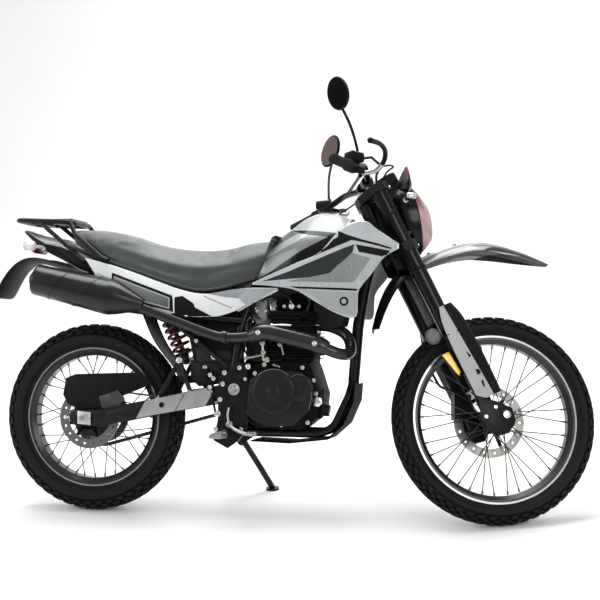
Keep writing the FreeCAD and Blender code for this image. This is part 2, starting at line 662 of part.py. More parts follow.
# front caliper and its hose, on the left leg
cal_c = V(FRONT.x - 96, 53.5, FRONT.z + 44)
cal = fuse(Part.makeBox(58, 44, 84, cal_c - V(29, 22, 42)), cyl((cal_c.x + 14, 66, cal_c.z + 24), (leg_at(430, 1).x - 8, 92, 432), 9), cyl((cal_c.x + 20, 66, cal_c.z - 22), (leg_at(372, 1).x - 12, 92, 368), 9))
slot = Part.makeCylinder(S("front_disc_radius") + 3, 9, V(FRONT.x, 49, FRONT.z), V(0, 1, 0))
cal = cal.cut(slot).cut(leg_lower(1))
cal = cal.cut(Part.makeCylinder(S("front_disc_radius") - 34, 60, V(FRONT.x, 20, FRONT.z), V(0, 1, 0)))
node("front_caliper", made("front_caliper", max(cal.Solids, key=lambda s_: s_.Volume)), "steering")
hose = tube([(hc.x + 30, hc.y + 26, hc.z + 28), (hc.x + 84, hc.y + 84, hc.z + 56), (292, -70, 1186), (306, 66, 1186), (leg_at(1090).x + 54, 112, 1100), (leg_at(960).x + 52, 114, 960), (leg_at(850).x + 52, 114, 850), (leg_at(750).x + 26, 148, 750), (leg_at(660).x - 10, 152, 660), (leg_at(560).x - 44, 150, 560), (leg_at(480).x - 48, 112, 470), (cal_c.x + 2, 66, cal_c.z + 46)], 4.5, 40)
node("brake_hose", made("brake_hose", hose), "steering")

# ================================================================= FRAME
H0, H1 = axis_at(904), axis_at(1060)
head = cyl(tuple(H0), tuple(H1), S("head_tube_radius"))
backbone = tube([(axis_at(975).x - 12, 0, 970), (150, 0, 905), (-60, 0, 805), (-128, 0, 772)], S("backbone_radius"), 120)
down = tube([(308, 0, 962), (281, 0, 880), (257, 0, 780), (236, 0, 650), (222, 0, 452)], S("down_tube_radius"), 300)
gusset = plate([(296, 952), (284, 925), (252, 800), (228, 800), (200, 915)], -4, 4)
frame_top = fuse(head, backbone, down, gusset).cut(cyl(tuple(axis_at(880)), tuple(axis_at(1090)), 13.1))
node("main_frame", made("main_frame", frame_top), "chassis")

seat_tube = tube([(-118, -16, 774), (-122, -58, 752), (-150, -96, 640), (-170, -101, 505)], 14, 50)
cradle = tube([(222, -14, 462), (216, -46, 420), (168, -62, 312), (120, -64, 290), (-130, -66, 290), (-196, -98, 300)], S("cradle_radius"), 60)
cross1 = cyl((40, -64, 290), (40, 64, 290), 10)
pp = plate([(-128, 524), (-196, 524), (-220, 470), (-222, 330), (-236, 262), (-186, 236), (-150, 262), (-120, 300), (-112, 430)], -110, -102)
pivot_bolt = cyl((S("pivot_x"), -116, S("pivot_height")), (S("pivot_x"), 116, S("pivot_height")), S("pivot_radius"))
skid = plate([(242, 458), (238, 400), (205, 322), (150, 272), (20, 256), (-112, 260), (-112, 264), (20, 260), (148, 276), (201, 325), (233.5, 401), (237.5, 458)], -86, 86)
cr = fuse(cradle, flip(cradle), cross1)
node("cradle_tubes", made("cradle_tubes", fuse(cr, seat_tube, flip(seat_tube), pp, flip(pp), pivot_bolt).cut(frame_top)), "chassis")
node("skid_plate", made("skid_plate", skid.cut(cr)), "chassis")

rail = tube([(-142, -106, 664), (-300, -104, 676), (-440, -92, 700), (-640, -80, 790), (-706, -78, 822)], S("stay_radius"), 90)
stay = tube([(-190, -108, 512), (-250, -107, 560), (-430, -93, 692)], S("stay_radius") - 1, 50)
top_rail = tube([(-128, -46, 764), (-200, -84, 772), (-430, -90, 774), (-640, -90, 800), (-700, -86, 822)], S("stay_radius"), 80)
lacer = cyl((-560, -83, 752), (-560, -89, 788), 9)
shock_lug = plate([(-480, 776), (-444, 776), (-447, 728), (-477, 728)], 17, 25)
half_sub = fuse(rail, stay, top_rail, lacer)
sub = fuse(half_sub, flip(half_sub), cyl((-640, -84, 792), (-640, 84, 792), 10), cyl((-330, -90, 773), (-330, 90, 773), 10), cyl((-462, -88, 776), (-462, 88, 776), 10), cyl((-462, -25, 742), (-462, 25, 742), 7), shock_lug, flip(shock_lug))
sub = sub.cut(fuse(seat_tube, flip(seat_tube), pp, flip(pp))).cut(frame_top)
node("subframe", made("subframe", sub), "chassis")

# ================================================================= ENGINE
case_b = new_body("crankcase")
sk = sketch(case_b, "case_outline", "XZ_Plane")
profile(sk, [(-138, 350), (-96, 306), (60, 304), (118, 350), (126, 420), (100, 500), (88, 528), (-78, 528), (-120, 512), (-138, 470)])
pad(case_b, sk, "Sizes.case_half*2", mid=True)
sk = sketch(case_b, "right_cover_outline", "XZ_Plane", 90)
profile(sk, [(-118, 352), (-60, 312), (44, 318), (100, 372), (108, 430), (70, 496), (-40, 508), (-108, 470)])
pad(case_b, sk, 44, "RightCover")
sk = sketch(case_b, "clutch_cover_outline", "XZ_Plane", 120)
circles(sk, [(-23, 429, "Sizes.clutch_cover_radius")])
pad(case_b, sk, "Sizes.clutch_cover_depth", "ClutchCover")
sk = sketch(case_b, "left_cover_outline", "XZ_Plane", -134)
circles(sk, [(14, 416, 74)])
pad(case_b, sk, 44, "LeftCover")
doc.recompute()
crank = case_b.Shape
node("crankcase", case_b, "chassis")

CX = 22.0
cyl_b = new_body("cylinder")
sk = sketch(cyl_b, "barrel_outline", "XY_Plane", 528.2)
profile(sk, [(CX - 74, -72), (CX + 74, -72), (CX + 74, 72), (CX - 74, 72)])
pad(cyl_b, sk, 172, "Barrel")
n_fin, pitch = int(S("fin_count")), S("fin_pitch")
for i in range(n_fin + 4):
    z = 540 + pitch * i if i < n_fin else 648 + 13 * (i - n_fin)
    a, w_ = (86, 84) if i < n_fin else (82, 88)
    sk = sketch(cyl_b, "fin_%d" % i, "XY_Plane", z)
    profile(sk, [(CX - a + 10, -w_), (CX + a - 10, -w_), (CX + a, -w_ + 12), (CX + a, w_ - 12), (CX + a - 10, w_), (CX - a + 10, w_), (CX - a, w_ - 12), (CX - a, -w_ + 12)])
    pad(cyl_b, sk, "Sizes.fin_thickness", "Fin%d" % i)
sk = sketch(cyl_b, "head_cover_outline", "XY_Plane", 700)
profile(sk, [(CX - 66, -50), (CX + 62, -50), (CX + 62, 50), (CX - 66, 50)])
pad(cyl_b, sk, 38, "HeadCover")
node("cylinder", cyl_b, "chassis")

carb = fuse(cyl((-45, -10, 668), (-150, -10, 694), 21), cyl((-86, -10, 620), (-86, -10, 700), 23), Part.makeBox(46, 52, 40, V(-110, -36, 640)), cyl((-86, -10, 698), (-88, -10, 738), 16))
carb = carb.cut(Part.makeBox(148, 200, 400, V(CX - 74, -100, 500)).fuse(Part.makeBox(172, 176, 56, V(CX - 86, -88, 640))))
carb = carb.cut(frame_top)
node("carburettor", made("carburettor", max(carb.Solids, key=lambda q: q.Volume)), "chassis")
airbox = plate([(-160, 752), (-158, 640), (-186, 520), (-318, 520), (-336, 600), (-372, 690), (-390, 752)], -80, 80)
airbox = airbox.makeFillet(12, airbox.Edges)
air = fuse(airbox, cyl((-152, -10, 694), (-175, -10, 700), 26)).cut(cyl((-152.2, -10, 694), (-45, -10, 668), 40))
air = air.cut(sub).cut(frame_top).cut(cyl((-462, 0, 742), (-366, 0, 528), 42))

# exhaust
hp = [(CX + 52, -22, 655), (150, -26, 648), (214, -44, 612), (224, -84, 560), (190, -132, 560), (118, -146, 590), (30, -148, 612), (-56, -146, 628), (-110, -138, 612), (-220, -132, 612), (-330, -136, 650), (-440, -140, 690), (-530, -146, 722)]
header = tube(hp, S("header_radius"), [30, 30, 34, 34, 40, 60, 60, 50, 60, 60, 90])
shield = tube([(150, -141, 578), (118, -146, 590), (30, -148, 612), (-56, -146, 628), (-92, -141, 618)], S("shield_radius"), 60)
header = fuse(header, shield).cut(Part.makeBox(172, 176, 70, V(CX - 86, -88, 640))).cut(Part.makeBox(148, 144, 400, V(CX - 74, -72, 500)))
header = max(header.Solids, key=lambda q: q.Volume)

M0, M1 = V(-866, -160, 802), V(-596, -152, 742)
MR = S("muffler_radius")
mu = (M1 - M0).normalize()
muff = fuse(Part.makeCone(MR - 10, MR, (M1 - M0).Length, M0, mu), Part.makeCone(MR, 26, 110, M1, mu), cyl(tuple(M0 - mu * 14), tuple(M0 + mu), 20))
muff = muff.cut(cyl(tuple(M0 - mu * 30), tuple(M0 + mu * 30), 15)).cut(header)
node("exhaust_pipe", made("exhaust_pipe", header), "chassis")
node("muffler", made("muffler", max(muff.Solids, key=lambda q: q.Volume)), "chassis")

# ================================================================= BODYWORK
def loft_sections(rows):
    return Part.makeLoft([ring_section(*r) for r in rows], True, False)


tank = loft_sections([(-84, 946, 838, 44, 60, 50, 884), (-20, 984, 800, 74, 102, 78, 880), (50, 1018, 784, 92, 136, 100, 884), (120, 1036, 780, 98, 146, 112, 892), (176, 1028, 800, 96, 144, 112, 906), (214, 1012, 850, 84, 124, 100, 926)])
tunnel = tube([(300, 0, 976.2), (150, 0, 905), (-60, 0, 805), (-160, 0, 757)], S("backbone_radius") + 8, 120)
tunnel2 = plate([(310, 985), (150, 905), (-60, 805), (-160, 757), (-160, 700), (310, 700)], -30, 30)
tank = tank.cut(fuse(tunnel, tunnel2)).cut(Part.makeBox(400, 80, 64, V(-110, -40, 738 - 20)))
tank = max(tank.Solids, key=lambda q: q.Volume)
CAPX = 128.0
cap_seat = Part.makeCylinder(S("cap_radius") + 8, 40, V(CAPX, 0, 1000))
neck = Part.makeCylinder(S("cap_radius") + 6, 31, V(CAPX, 0, 1008))
tank = fuse(tank, neck)
node("fuel_tank", made("fuel_tank", tank), "chassis")
cap = fuse(Part.makeCylinder(S("cap_radius"), S("cap_thickness"), V(CAPX, 0, 1039.4)), Part.makeCylinder(S("cap_radius") - 4, 3, V(CAPX, 0, 1039.4 + S("cap_thickness"))))
CAP_PIN = V(CAPX + S("cap_radius") + 4, 0, 1039.4 + 4.5)
cap = fuse(cap, Part.makeBox(14, 22, 7, V(CAPX + S("cap_radius") - 8, -11, 1040.2)), Part.makeCylinder(3.4, 22, V(CAP_PIN.x, -11, CAP_PIN.z), V(0, 1, 0)))
node("fuel_cap", made("fuel_cap", cap), "fuel_cap")

seat_rows = [(-752, 980, 932, 56, 84, 78, 952), (-668, 974, 884, 78, 112, 102, 922), (-567, 956, 846, 90, 126, 120, 892), (-475, 927, 814, 92, 130, 126, 866), (-391, 909, 786, 88, 128, 126, 842), (-301, 902, 762, 78, 122, 118, 826), (-218, 908, 768, 66, 108, 106, 832), (-150, 931, 782, 54, 92, 92, 850), (-98, 946, 800, 46, 78, 76, 870)]
seat = loft_sections(seat_rows)
seat = seat.cut(Part.makeBox(560, 216, 50, V(-640, -108, 740)))
seat = seat.cut(tank).cut(sub).cut(frame_top)
seat = max(seat.Solids, key=lambda q: q.Volume)
node("seat", made("seat", seat), "chassis")
air = air.cut(seat).cut(seat_tube).cut(flip(seat_tube))
node("airbox", made("airbox", max(air.Solids, key=lambda q: q.Volume)), "chassis")


def side_sheet(rows, thick):
    """A body panel on the right: rows run from its top edge to its bottom edge."""
    return skin(rows, thick, lambda k, i: V(0, 1, 0), True)


PT = S("panel_thickness")
shroud = side_sheet([
    [(-98, -140, 793), (-98, -141, 791), (-98, -141, 789), (-98, -141, 787)],
    [(-30, -148, 822), (-30, -150, 808), (-30, -151, 795), (-30, -151, 781)],
    [(50, -152, 858), (50, -158, 832), (50, -162, 800), (52, -163, 767)],
    [(125, -156, 905), (125, -166, 848), (125, -174, 790), (125, -172, 727)],
    [(196, -142, 968), (196, -168, 880), (196, -180, 790), (196, -176, 690)],
    [(250, -142, 994), (251, -170, 890), (254, -184, 790), (256, -180, 680)],
    [(286, -146, 996), (282, -170, 906), (274, -182, 830), (266, -182, 764)],
    [(318, -150, 970), (318, -168, 922), (315, -178, 870), (310, -180, 824)],
    [(360, -160, 942), (358, -168, 924), (354, -173, 900), (350, -176, 876)],
    [(395, -170, 919), (395, -171, 914), (395, -172, 909), (395, -172, 904)]], PT)
shroud_stay = cyl((205, -118, 900), (214, -174, 880), 7)
shr = fuse(shroud, shroud_stay).cut(tank)
shr = max(shr.Solids, key=lambda q: q.Volume)
node("tank_shrouds", made("tank_shrouds", both(shr)), "chassis")

panel = side_sheet([
    [(-701, -128, 878), (-656, -138, 818), (-611, -144, 758), (-566, -144, 698)],
    [(-622, -136, 858), (-584, -146, 806), (-540, -150, 750), (-500, -148, 694)],
    [(-522, -138, 828), (-494, -149, 784), (-462, -152, 736), (-430, -148, 686)],
    [(-430, -137, 795), (-404, -147, 758), (-378, -150, 718), (-350, -146, 679)],
    [(-340, -134, 766), (-318, -142, 738), (-294, -145, 708), (-270, -142, 677)],
    [(-270, -130, 755), (-254, -136, 732), (-234, -139, 706), (-212, -138, 681)],
    [(-200, -126, 764), (-190, -130, 742), (-178, -133, 720), (-166, -133, 696)],
    [(-120, -120, 776), (-116, -123, 758), (-112, -125, 740), (-108, -125, 722)],
    [(-20, -116, 776), (-19, -117, 773), (-18, -117, 770), (-17, -117, 767)]], PT)
pn = panel.cut(muff).cut(header).cut(seat).cut(sub)
pn = max(pn.Solids, key=lambda q: q.Volume)
node("side_panels", made("side_panels", both(pn)), "chassis")

tail = loft_sections([(-655, 874, 812, 92, 108, 100, 842), (-740, 912, 838, 84, 106, 96, 876), (-800, 946, 870, 74, 94, 80, 906), (-880, 960, 908, 62, 78, 60, 932), (-912, 968, 930, 56, 70, 54, 948), (-956, 980, 966, 42, 52, 46, 973)])
tail = tail.cut(seat).cut(sub).cut(pn).cut(flip(pn))
tail = max(tail.Solids, key=lambda q: q.Volume)
node("tail_fairing", made("tail_fairing", tail), "chassis")
tl = Part.makeBox(30, 104, 50, V(-15, -52, -25))
tl = tl.makeFillet(6, tl.Edges)
tl.Placement = Pl(V(-916, 0, 926), Rot(V(0, 1, 0), 32))
tl = tl.cut(tail)
node("tail_light", made("tail_light", max(tl.Solids, key=lambda q: q.Volume)), "chassis")

rf = arch_sheet([(-381, 454, 58, 4, 106), (-414, 516, 60, 6, 110), (-464, 576, 62, 8, 114), (-500, 640, 66, 10, 118), (-528, 700, 68, 12, 125), (-580, 762, 70, 14, 145), (-660, 800, 72, 16, 160), (-760, 826, 76, 18, 168), (-850, 850, 78, 18, 172), (-925, 862, 80, 16, 186), (-985, 826, 84, 16, 222), (-1052, 738, 90, 12, 235)], FT)
rf = rf.cut(tail).cut(sub).cut(muff).cut(lacer).cut(tl)
rf = max(rf.Solids, key=lambda q: q.Volume)
node("rear_fender", made("rear_fender", rf), "chassis")

# rear turn signals on stalks from the tail
rs_ = signal(-870, -64, 918, -1, -26, 17, 42, 74)
rs_ = rs_.cut(tail)
rs_ = max(rs_.Solids, key=lambda q: q.Volume)
node("rear_turn_signals", made("rear_turn_signals", both(rs_)), "chassis")

# rack: a rounded loop with a drilled plate, on four legs
RZ = 1004.0
half_loop = tube([(-764, .5, RZ), (-764, -102, RZ), (-970, -96, RZ + 8), (-970, .5, RZ + 8)], S("rack_radius"), 34)
leg_a = tube([(-770, -92, RZ + 1), (-744, -110, 962), (-640, -128, 880), (-612, -133, 868)], S("rack_radius") - .7, 24)
leg_b = tube([(-884, -95, RZ + 6), (-842, -104, 975), (-734, -114, 890), (-700, -122, 866)], S("rack_radius") - .7, 24)
bar_c = cyl((-765, -110, 918), (-632, -129, 874), S("rack_radius") - 1.6)
rk_half = fuse(leg_a, leg_b, bar_c)
rk_half = fuse(rk_half, half_loop)
rk = fuse(rk_half, flip(rk_half))
pl_w = Part.makeBox(196, 150, S("rack_plate_thickness"), V(-966, -75, RZ + 10))
cross_a = cyl((-830, -102, RZ + 3), (-830, 102, RZ + 3), S("rack_radius") - 1)
cross_b = cyl((-905, -98, RZ + 4), (-905, 98, RZ + 4), S("rack_radius") - 1)
rk = fuse(rk, pl_w, cross_a, cross_b)
for sx in (-1, 1):
    for sy in (-1, 1):
        c = V(-866 + sx * S("rack_bolt_circle") / 2 * .70710678, sy * S("rack_bolt_circle") / 2 * .70710678, RZ - 20)
        rk = rk.cut(Part.makeCylinder(S("rack_hole_radius"), 60, c))
rk = rk.cut(pn).cut(flip(pn)).cut(tail).cut(seat)
rk = max(rk.Solids, key=lambda q: q.Volume)
node("rear_rack", made("rear_rack", rk), "chassis")

# ================================================================= REAR SUSPENSION AND DRIVE
PX, PZ = S("pivot_x"), S("pivot_height")
AW = S("arm_width")
front_arm = plate([(-146, 452), (-186, 458), (-268, 436), (-268, 384), (-190, 412), (-146, 418)], -100, -84)
outer = plate([(-240, 444), (-459, 396), (-640, 356), (-752, 350), (-752, 302), (-640, 298), (-459, 338), (-240, 380)], -96 - AW, -96)
arm = fuse(front_arm, outer, Part.makeBox(70, 4, 50, V(-300, -100, 386)))
collar = cyl((-WB / 2, -97, REAR.z), (-WB / 2, -75, REAR.z), 15)
arm = fuse(arm, collar)
sa = fuse(arm, flip(arm), Part.makeBox(66, 194, 56, V(-330, -97, 376)), cyl((PX, -100, PZ), (PX, 100, PZ), 19))
sa = sa.cut(cyl((PX, -130, PZ), (PX, 130, PZ), S("pivot_radius"))).cut(cyl((-WB / 2, -160, REAR.z), (-WB / 2, 160, REAR.z), S("rear_axle_radius")))
brace_ = fuse(cyl((-442, -106, 388), (-366, -84, 528), 8), cyl((-318, -106, 414), (-366, -84, 528), 8))
sa = fuse(sa, brace_, flip(brace_), cyl((-366, -90, 528), (-366, 90, 528), 9)).cut(crank)
node("swingarm", made("swingarm", sa), "chassis")

# chain loop round both sprockets
fs = V(-96, 0, 432)
r1, r2 = S("small_sprocket_radius"), S("sprocket_radius") - 6.5
rc = V(-WB / 2, 0, REAR.z)


def belt(e, y0, y1):
    a, b = r1 + e, r2 + e
    d = fs - rc
    L = math.hypot(d.x, d.z)
    base = math.atan2(d.z, d.x)
    off = math.acos((b - a) / L)
    pts = []
    for sgn in (1, -1):
        t = base + sgn * off
        pts.append((V(rc.x + b * math.cos(t), y0, rc.z + b * math.sin(t)), V(fs.x + a * math.cos(t), y0, fs.z + a * math.sin(t))))
    (bt, at), (bb, ab) = pts
    e1 = Part.LineSegment(bt, at).toShape()
    e2 = Part.Arc(at, V(fs.x + a * math.cos(base), y0, fs.z + a * math.sin(base)), ab).toShape()
    e3 = Part.LineSegment(ab, bb).toShape()
    e4 = Part.Arc(bb, V(rc.x - b * math.cos(base), y0, rc.z - b * math.sin(base)), bt).toShape()
    return Part.Face(Part.Wire([e1, e2, e3, e4])).extrude(V(0, y1 - y0, 0))


hw_ = S("chain_width") / 2
chain = belt(S("chain_height"), CHAIN_Y - hw_, CHAIN_Y + hw_).cut(belt(0, CHAIN_Y - hw_ - 1, CHAIN_Y + hw_ + 1))
chain = chain.cut(crank)
chain = max(chain.Solids, key=lambda q: q.Volume)
node("chain", made("chain", chain), "chassis")
cg = plate([(-250, 482), (-640, 456), (-770, 430), (-770, 422), (-640, 447), (-250, 472)], 60, 84)
cg = fuse(cg, plate([(-300, 479), (-640, 456), (-770, 430), (-772, 400), (-640, 424), (-300, 452)], 84, 87), plate([(-420, 470), (-470, 466), (-470, 385), (-420, 392)], 84, 97))
cg = cg.cut(sa).cut(chain)
cg = max(cg.Solids, key=lambda q: q.Volume)
node("chain_guard", made("chain_guard", cg), "chassis")

# shock absorber: body, rod and coil spring
s0, s1 = V(-462, 0, 742), V(-366, 0, 528)
su = (s1 - s0).normalize()
shock = fuse(cyl(tuple(s0), tuple(s1), 9), cyl(tuple(s0 + su * 20), tuple(s0 + su * 130), 20), cyl(tuple(s0 + su * 36), tuple(s0 + su * 44), 35), cyl(tuple(s0 + su * 204), tuple(s0 + su * 211), 35), cyl((s0.x, -15, s0.z), (s0.x, 15, s0.z), 15), cyl((s1.x, -16, s1.z), (s1.x, 16, s1.z), 15))
shock = shock.cut(cyl((s0.x, -40, s0.z), (s0.x, 40, s0.z), 7)).cut(cyl((s1.x, -100, s1.z), (s1.x, 100, s1.z), 9))
helix = Part.makeHelix(24, 146, 29)
hring = Part.Wire([Part.makeCircle(5.5, V(29, 0, 0), V(0, 1, 0))])
coil = Part.Wire(helix.Edges).makePipeShell([hring], True, True)
coil.Placement = Pl(s0 + su * 51, Rot(V(0, 0, 1), su))
node("rear_shock", made("rear_shock", shock), "chassis")
node("shock_spring", made("shock_spring", coil), "chassis")

# rear brake caliper on the right
qc = V(-612, -65.5, 398)
rcal = Part.makeBox(64, 50, 74, qc - V(32, 25, 37))
rcal = fuse(rcal, plate([(-650, 400), (-580, 420), (-560, 392), (-600, 352)], -95, -76))
rcal = rcal.cut(Part.makeCylinder(S("rear_disc_radius") + 3, 9, V(-WB / 2, -70, REAR.z), V(0, 1, 0)))
rcal = rcal.cut(Part.makeCylinder(S("rear_disc_radius") - 36, 80, V(-WB / 2, -110, REAR.z), V(0, 1, 0)))
rcal = rcal.cut(Part.makeBox(400, 12, 400, V(-900, -50, 100))).cut(sa)
node("rear_caliper", made("rear_caliper", max(rcal.Solids, key=lambda q: q.Volume)), "chassis")

# ================================================================= FOOT CONTROLS
peg = fuse(Part.makeBox(44, 84, 16, V(-218, -236, 275)), cyl((-196, -112, 290), (-196, -156, 284), 11))
peg = peg.cut(pp)
node("foot_pegs", made("foot_pegs", both(peg)), "chassis")
bp = fuse(tube([(-176, -124, 318), (-150, -136, 300), (-110, -150, 288), (-84, -158, 288)], 6, 20), Part.makeBox(34, 30, 10, V(-104, -176, 290)), cyl((-176, -109, 318), (-176, -132, 318), 11))
gl = fuse(tube([(-120, 104, 326), (-110, 138, 322), (-60, 146, 316), (-4, 146, 318)], 5.5, 16), cyl((-4, 140, 318), (-4, 176, 318), 8))
bp, gl = bp.cut(pp).cut(crank), gl.cut(flip(pp)).cut(crank)
node("foot_controls", made("foot_controls", Part.makeCompound([max(bp.Solids, key=lambda q: q.Volume), max(gl.Solids, key=lambda q: q.Volume)])), "chassis")

# ================================================================= SIDE STAND
REST = Pl(V(S("rest_shift_x"), S("rest_shift_y"), S("rest_lift")), Rot(V(0, 1, 0), S("rest_pitch")).multiply(Rot(V(1, 0, 0), -S("rest_lean"))))
STEER = Pl(V(0, 0, 0), Rot(UP, S("rest_steer")), FOOT_OF_AXIS)
ST_P = V(-196, 128, 250)
up_here = REST.Rotation.inverted().multVec(V(0, 0, 1))


def ground_z(x, y):
    """The height, on the upright machine, at which a point touches the ground at rest."""
    return -REST.multVec(V(x, y, 0)).z / REST.Rotation.multVec(V(0, 0, 1)).z


ST_F = V(-121, 290, ground_z(-121, 290))
d1 = ST_F + up_here * 6 - ST_P
d2 = V(-.985, .17, -.02)
k_ = (d1.y / d1.Length - d2.y / d2.Length, d1.z / d1.Length - d2.z / d2.Length)
ST_AXIS = V(0, abs(k_[1]), abs(k_[0])).normalize()
leg = tube([tuple(ST_P + d1 * .04), tuple(ST_P + d1 * .5 + V(-4, 7, 5)), tuple(ST_F + up_here * 7)], S("stand_radius"), 200)
foot = Part.makeCylinder(S("foot_radius"), S("foot_thickness"), V(0, 0, 0))
foot.Placement = Pl(ST_F, Rot(V(0, 0, 1), up_here))
eye = cyl(tuple(ST_P - ST_AXIS * 8), tuple(ST_P + ST_AXIS * 8), 17)
stand = fuse(leg, foot, eye).cut(cyl(tuple(ST_P - ST_AXIS * 40), tuple(ST_P + ST_AXIS * 40), S("stand_pin_radius") + S("bearing_gap")))
node("side_stand", made("side_stand", stand), "side_stand")
pin = cyl(tuple(ST_P - ST_AXIS * 20), tuple(ST_P + ST_AXIS * 13), S("stand_pin_radius"))
ear0 = cyl(tuple(ST_P - ST_AXIS * 20), tuple(ST_P - ST_AXIS * 13.2), 14)
strut = cyl(tuple(ST_P - ST_AXIS * 19), (-196, 106, 258), 10).cut(cyl(tuple(ST_P - ST_AXIS * 13.2), tuple(ST_P + ST_AXIS * 40), 23))
lugs = fuse(pin, ear0, strut).cut(pp.fuse(flip(pp)))
node("stand_bracket", made("stand_bracket", max(lugs.Solids, key=lambda q: q.Volume)), "chassis")

# ================================================================= MATING FACES INSIDE ONE BODY
# where two sub-parts of one body meet, the first of a pair is relieved to the shape of the others
doc.recompute()
PART_OF = dict((name, obj) for name, obj, group, local in NODES)

for low, highs in [("hand_controls", ["handlebar"]), ("handlebar", ["triple_clamps"]), ("headlight_shell", ["triple_clamps", "front_fender"]),
                   ("instruments", ["handlebar", "triple_clamps", "headlight_shell"]), ("mirrors", ["hand_controls", "handlebar"]),
                   ("brake_hose", ["hand_controls", "front_caliper", "fork_guards"]), ("skid_plate", ["main_frame", "cradle_tubes"]),
                   ("cradle_tubes", ["crankcase"]), ("carburettor", ["cylinder"]), ("exhaust_pipe", ["subframe", "cylinder", "crankcase"]),
                   ("muffler", ["exhaust_pipe", "subframe"]), ("side_panels", ["muffler"])]:
    o = PART_OF[low]
    count = len(o.Shape.Solids)
    q = o.Shape
    for high in highs:
        q = q.cut(PART_OF[high].Shape)
    keep = sorted(q.Solids, key=lambda v: -v.Volume)[:count]
    o.Shape = keep[0] if count == 1 else Part.makeCompound(keep)

# ================================================================= REST POSE AND EXPORT
doc.recompute()
for name, obj, group, local in NODES:
    base = local if not local.isIdentity() else obj.Placement
    obj.Placement = REST.multiply(STEER.multiply(base) if group in ("steering", "front_wheel") else base)
doc.recompute()

for o in doc.Objects:
    if "Invalid" in o.State or "Error" in o.State:
        raise RuntimeError("not built: %s %s" % (o.Name, o.State))
unsound = [name for name, obj, group, local in NODES if obj.Shape.isNull() or not obj.Shape.isValid()]
if unsound:
    raise RuntimeError("not a sound solid: " + ", ".join(unsound))
box = FreeCAD.BoundBox()
total = 0.0
for name, obj, group, local in NODES:
    b = obj.Shape.BoundBox
    box.add(b)
    total += obj.Shape.Volume
    print("%-20s %-12s %2d solids  x %.0f..%.0f y %.0f..%.0f z %.1f..%.0f  %.2f l" % (name, group, len(obj.Shape.Solids), b.XMin, b.XMax, b.YMin, b.YMax, b.ZMin, b.ZMax, obj.Shape.Volume / 1e6))
print("box", box, "volume %.4f m3" % (total / 1e9), "stand axis", REST.Rotation.multVec(ST_AXIS), REST.multVec(ST_P))
for name, obj, group, local in NODES:
    obj.Shape.exportStep("parts/%s.step" % name)
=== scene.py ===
import bpy, bmesh, math, random
from mathutils import Vector, Matrix
from mathutils.bvhtree import BVHTree


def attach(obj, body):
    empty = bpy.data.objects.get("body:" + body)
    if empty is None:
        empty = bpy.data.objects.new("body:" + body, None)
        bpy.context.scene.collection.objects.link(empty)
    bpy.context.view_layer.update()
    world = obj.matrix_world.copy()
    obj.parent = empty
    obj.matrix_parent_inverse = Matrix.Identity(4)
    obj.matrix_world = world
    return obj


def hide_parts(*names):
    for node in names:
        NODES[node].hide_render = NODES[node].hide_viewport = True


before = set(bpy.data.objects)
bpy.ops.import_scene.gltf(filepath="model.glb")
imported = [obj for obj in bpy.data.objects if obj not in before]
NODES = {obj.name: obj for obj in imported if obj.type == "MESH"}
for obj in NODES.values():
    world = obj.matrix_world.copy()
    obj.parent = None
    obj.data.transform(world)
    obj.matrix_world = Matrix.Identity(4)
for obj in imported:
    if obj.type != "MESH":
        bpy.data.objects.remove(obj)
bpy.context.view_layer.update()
scene = bpy.context.scene
rad, sin, cos, pi = math.radians, math.sin, math.cos, math.pi
rng = random.Random(7)

# ------------------------------------------------------------------ frames
# Pieces are drawn on the upright, unsteered motorcycle in millimetres, then leaned onto the stand.
SHIFT = Vector((19.83, -206.43, -2.32))
MM = Matrix.Scale(.001, 4)
REST = Matrix.Translation(SHIFT) @ Matrix.Rotation(rad(.2689), 4, "Y") @ Matrix.Rotation(rad(-10.8), 4, "X")
UP = Vector((-sin(rad(27)), 0, cos(rad(27))))
FWD = Vector((cos(rad(27)), 0, sin(rad(27))))
FOOT = Vector((801, 0, 0))
STEER = Matrix.Translation(FOOT) @ Matrix.Rotation(rad(23), 4, UP) @ Matrix.Translation(-FOOT)
PLACE = {"chassis": MM @ REST, "rear_wheel": MM @ REST, "side_stand": MM @ REST, "fuel_cap_lid": MM @ REST,
         "steering": MM @ REST @ STEER, "front_wheel": MM @ REST @ STEER}
FRONT, REAR = Vector((696, 0, 348)), Vector((-696, 0, 326))


def axis_at(z):
    return Vector((FOOT.x - math.tan(rad(27)) * z, 0, z))


def leg_at(z, side=-1):
    return Vector((axis_at(z).x + 28.5 / cos(rad(27)), side * 102, z))


# ------------------------------------------------------------------ camera, light, floor
cam_data = bpy.data.cameras.new("camera")
cam = bpy.data.objects.new("camera", cam_data)
scene.collection.objects.link(cam)
vw, vr, vu = Vector((-.206791, .966536, -.151808)), Vector((.978385, .204421, -.031227)), Vector((-.000851, .154984, .987917))
cm = Matrix(((vr.x, vu.x, -vw.x, 0), (vr.y, vu.y, -vw.y, 0), (vr.z, vu.z, -vw.z, 0), (0, 0, 0, 1)))
cm.translation = Vector((.949122, -4.124454, 1.394046)) + Vector((SHIFT.x, SHIFT.y, 0)) / 1000
cam.matrix_world = cm
cam_data.sensor_width = 36
cam_data.lens = 1288.71 / 600 * 36
cam_data.clip_end = 60
scene.camera = cam
scene.view_settings.view_transform = "Standard"


def lamp(name, at, look, size, power, colour=(1, 1, 1), size_y=None):
    d = bpy.data.lights.new(name, "AREA")
    d.energy, d.size, d.color = power, size, colour
    if size_y:
        d.shape, d.size_y = "RECTANGLE", size_y
    o = bpy.data.objects.new(name, d)
    scene.collection.objects.link(o)
    o.location = at
    o.rotation_euler = (Vector(look) - Vector(at)).to_track_quat("-Z", "Y").to_euler()
    return o


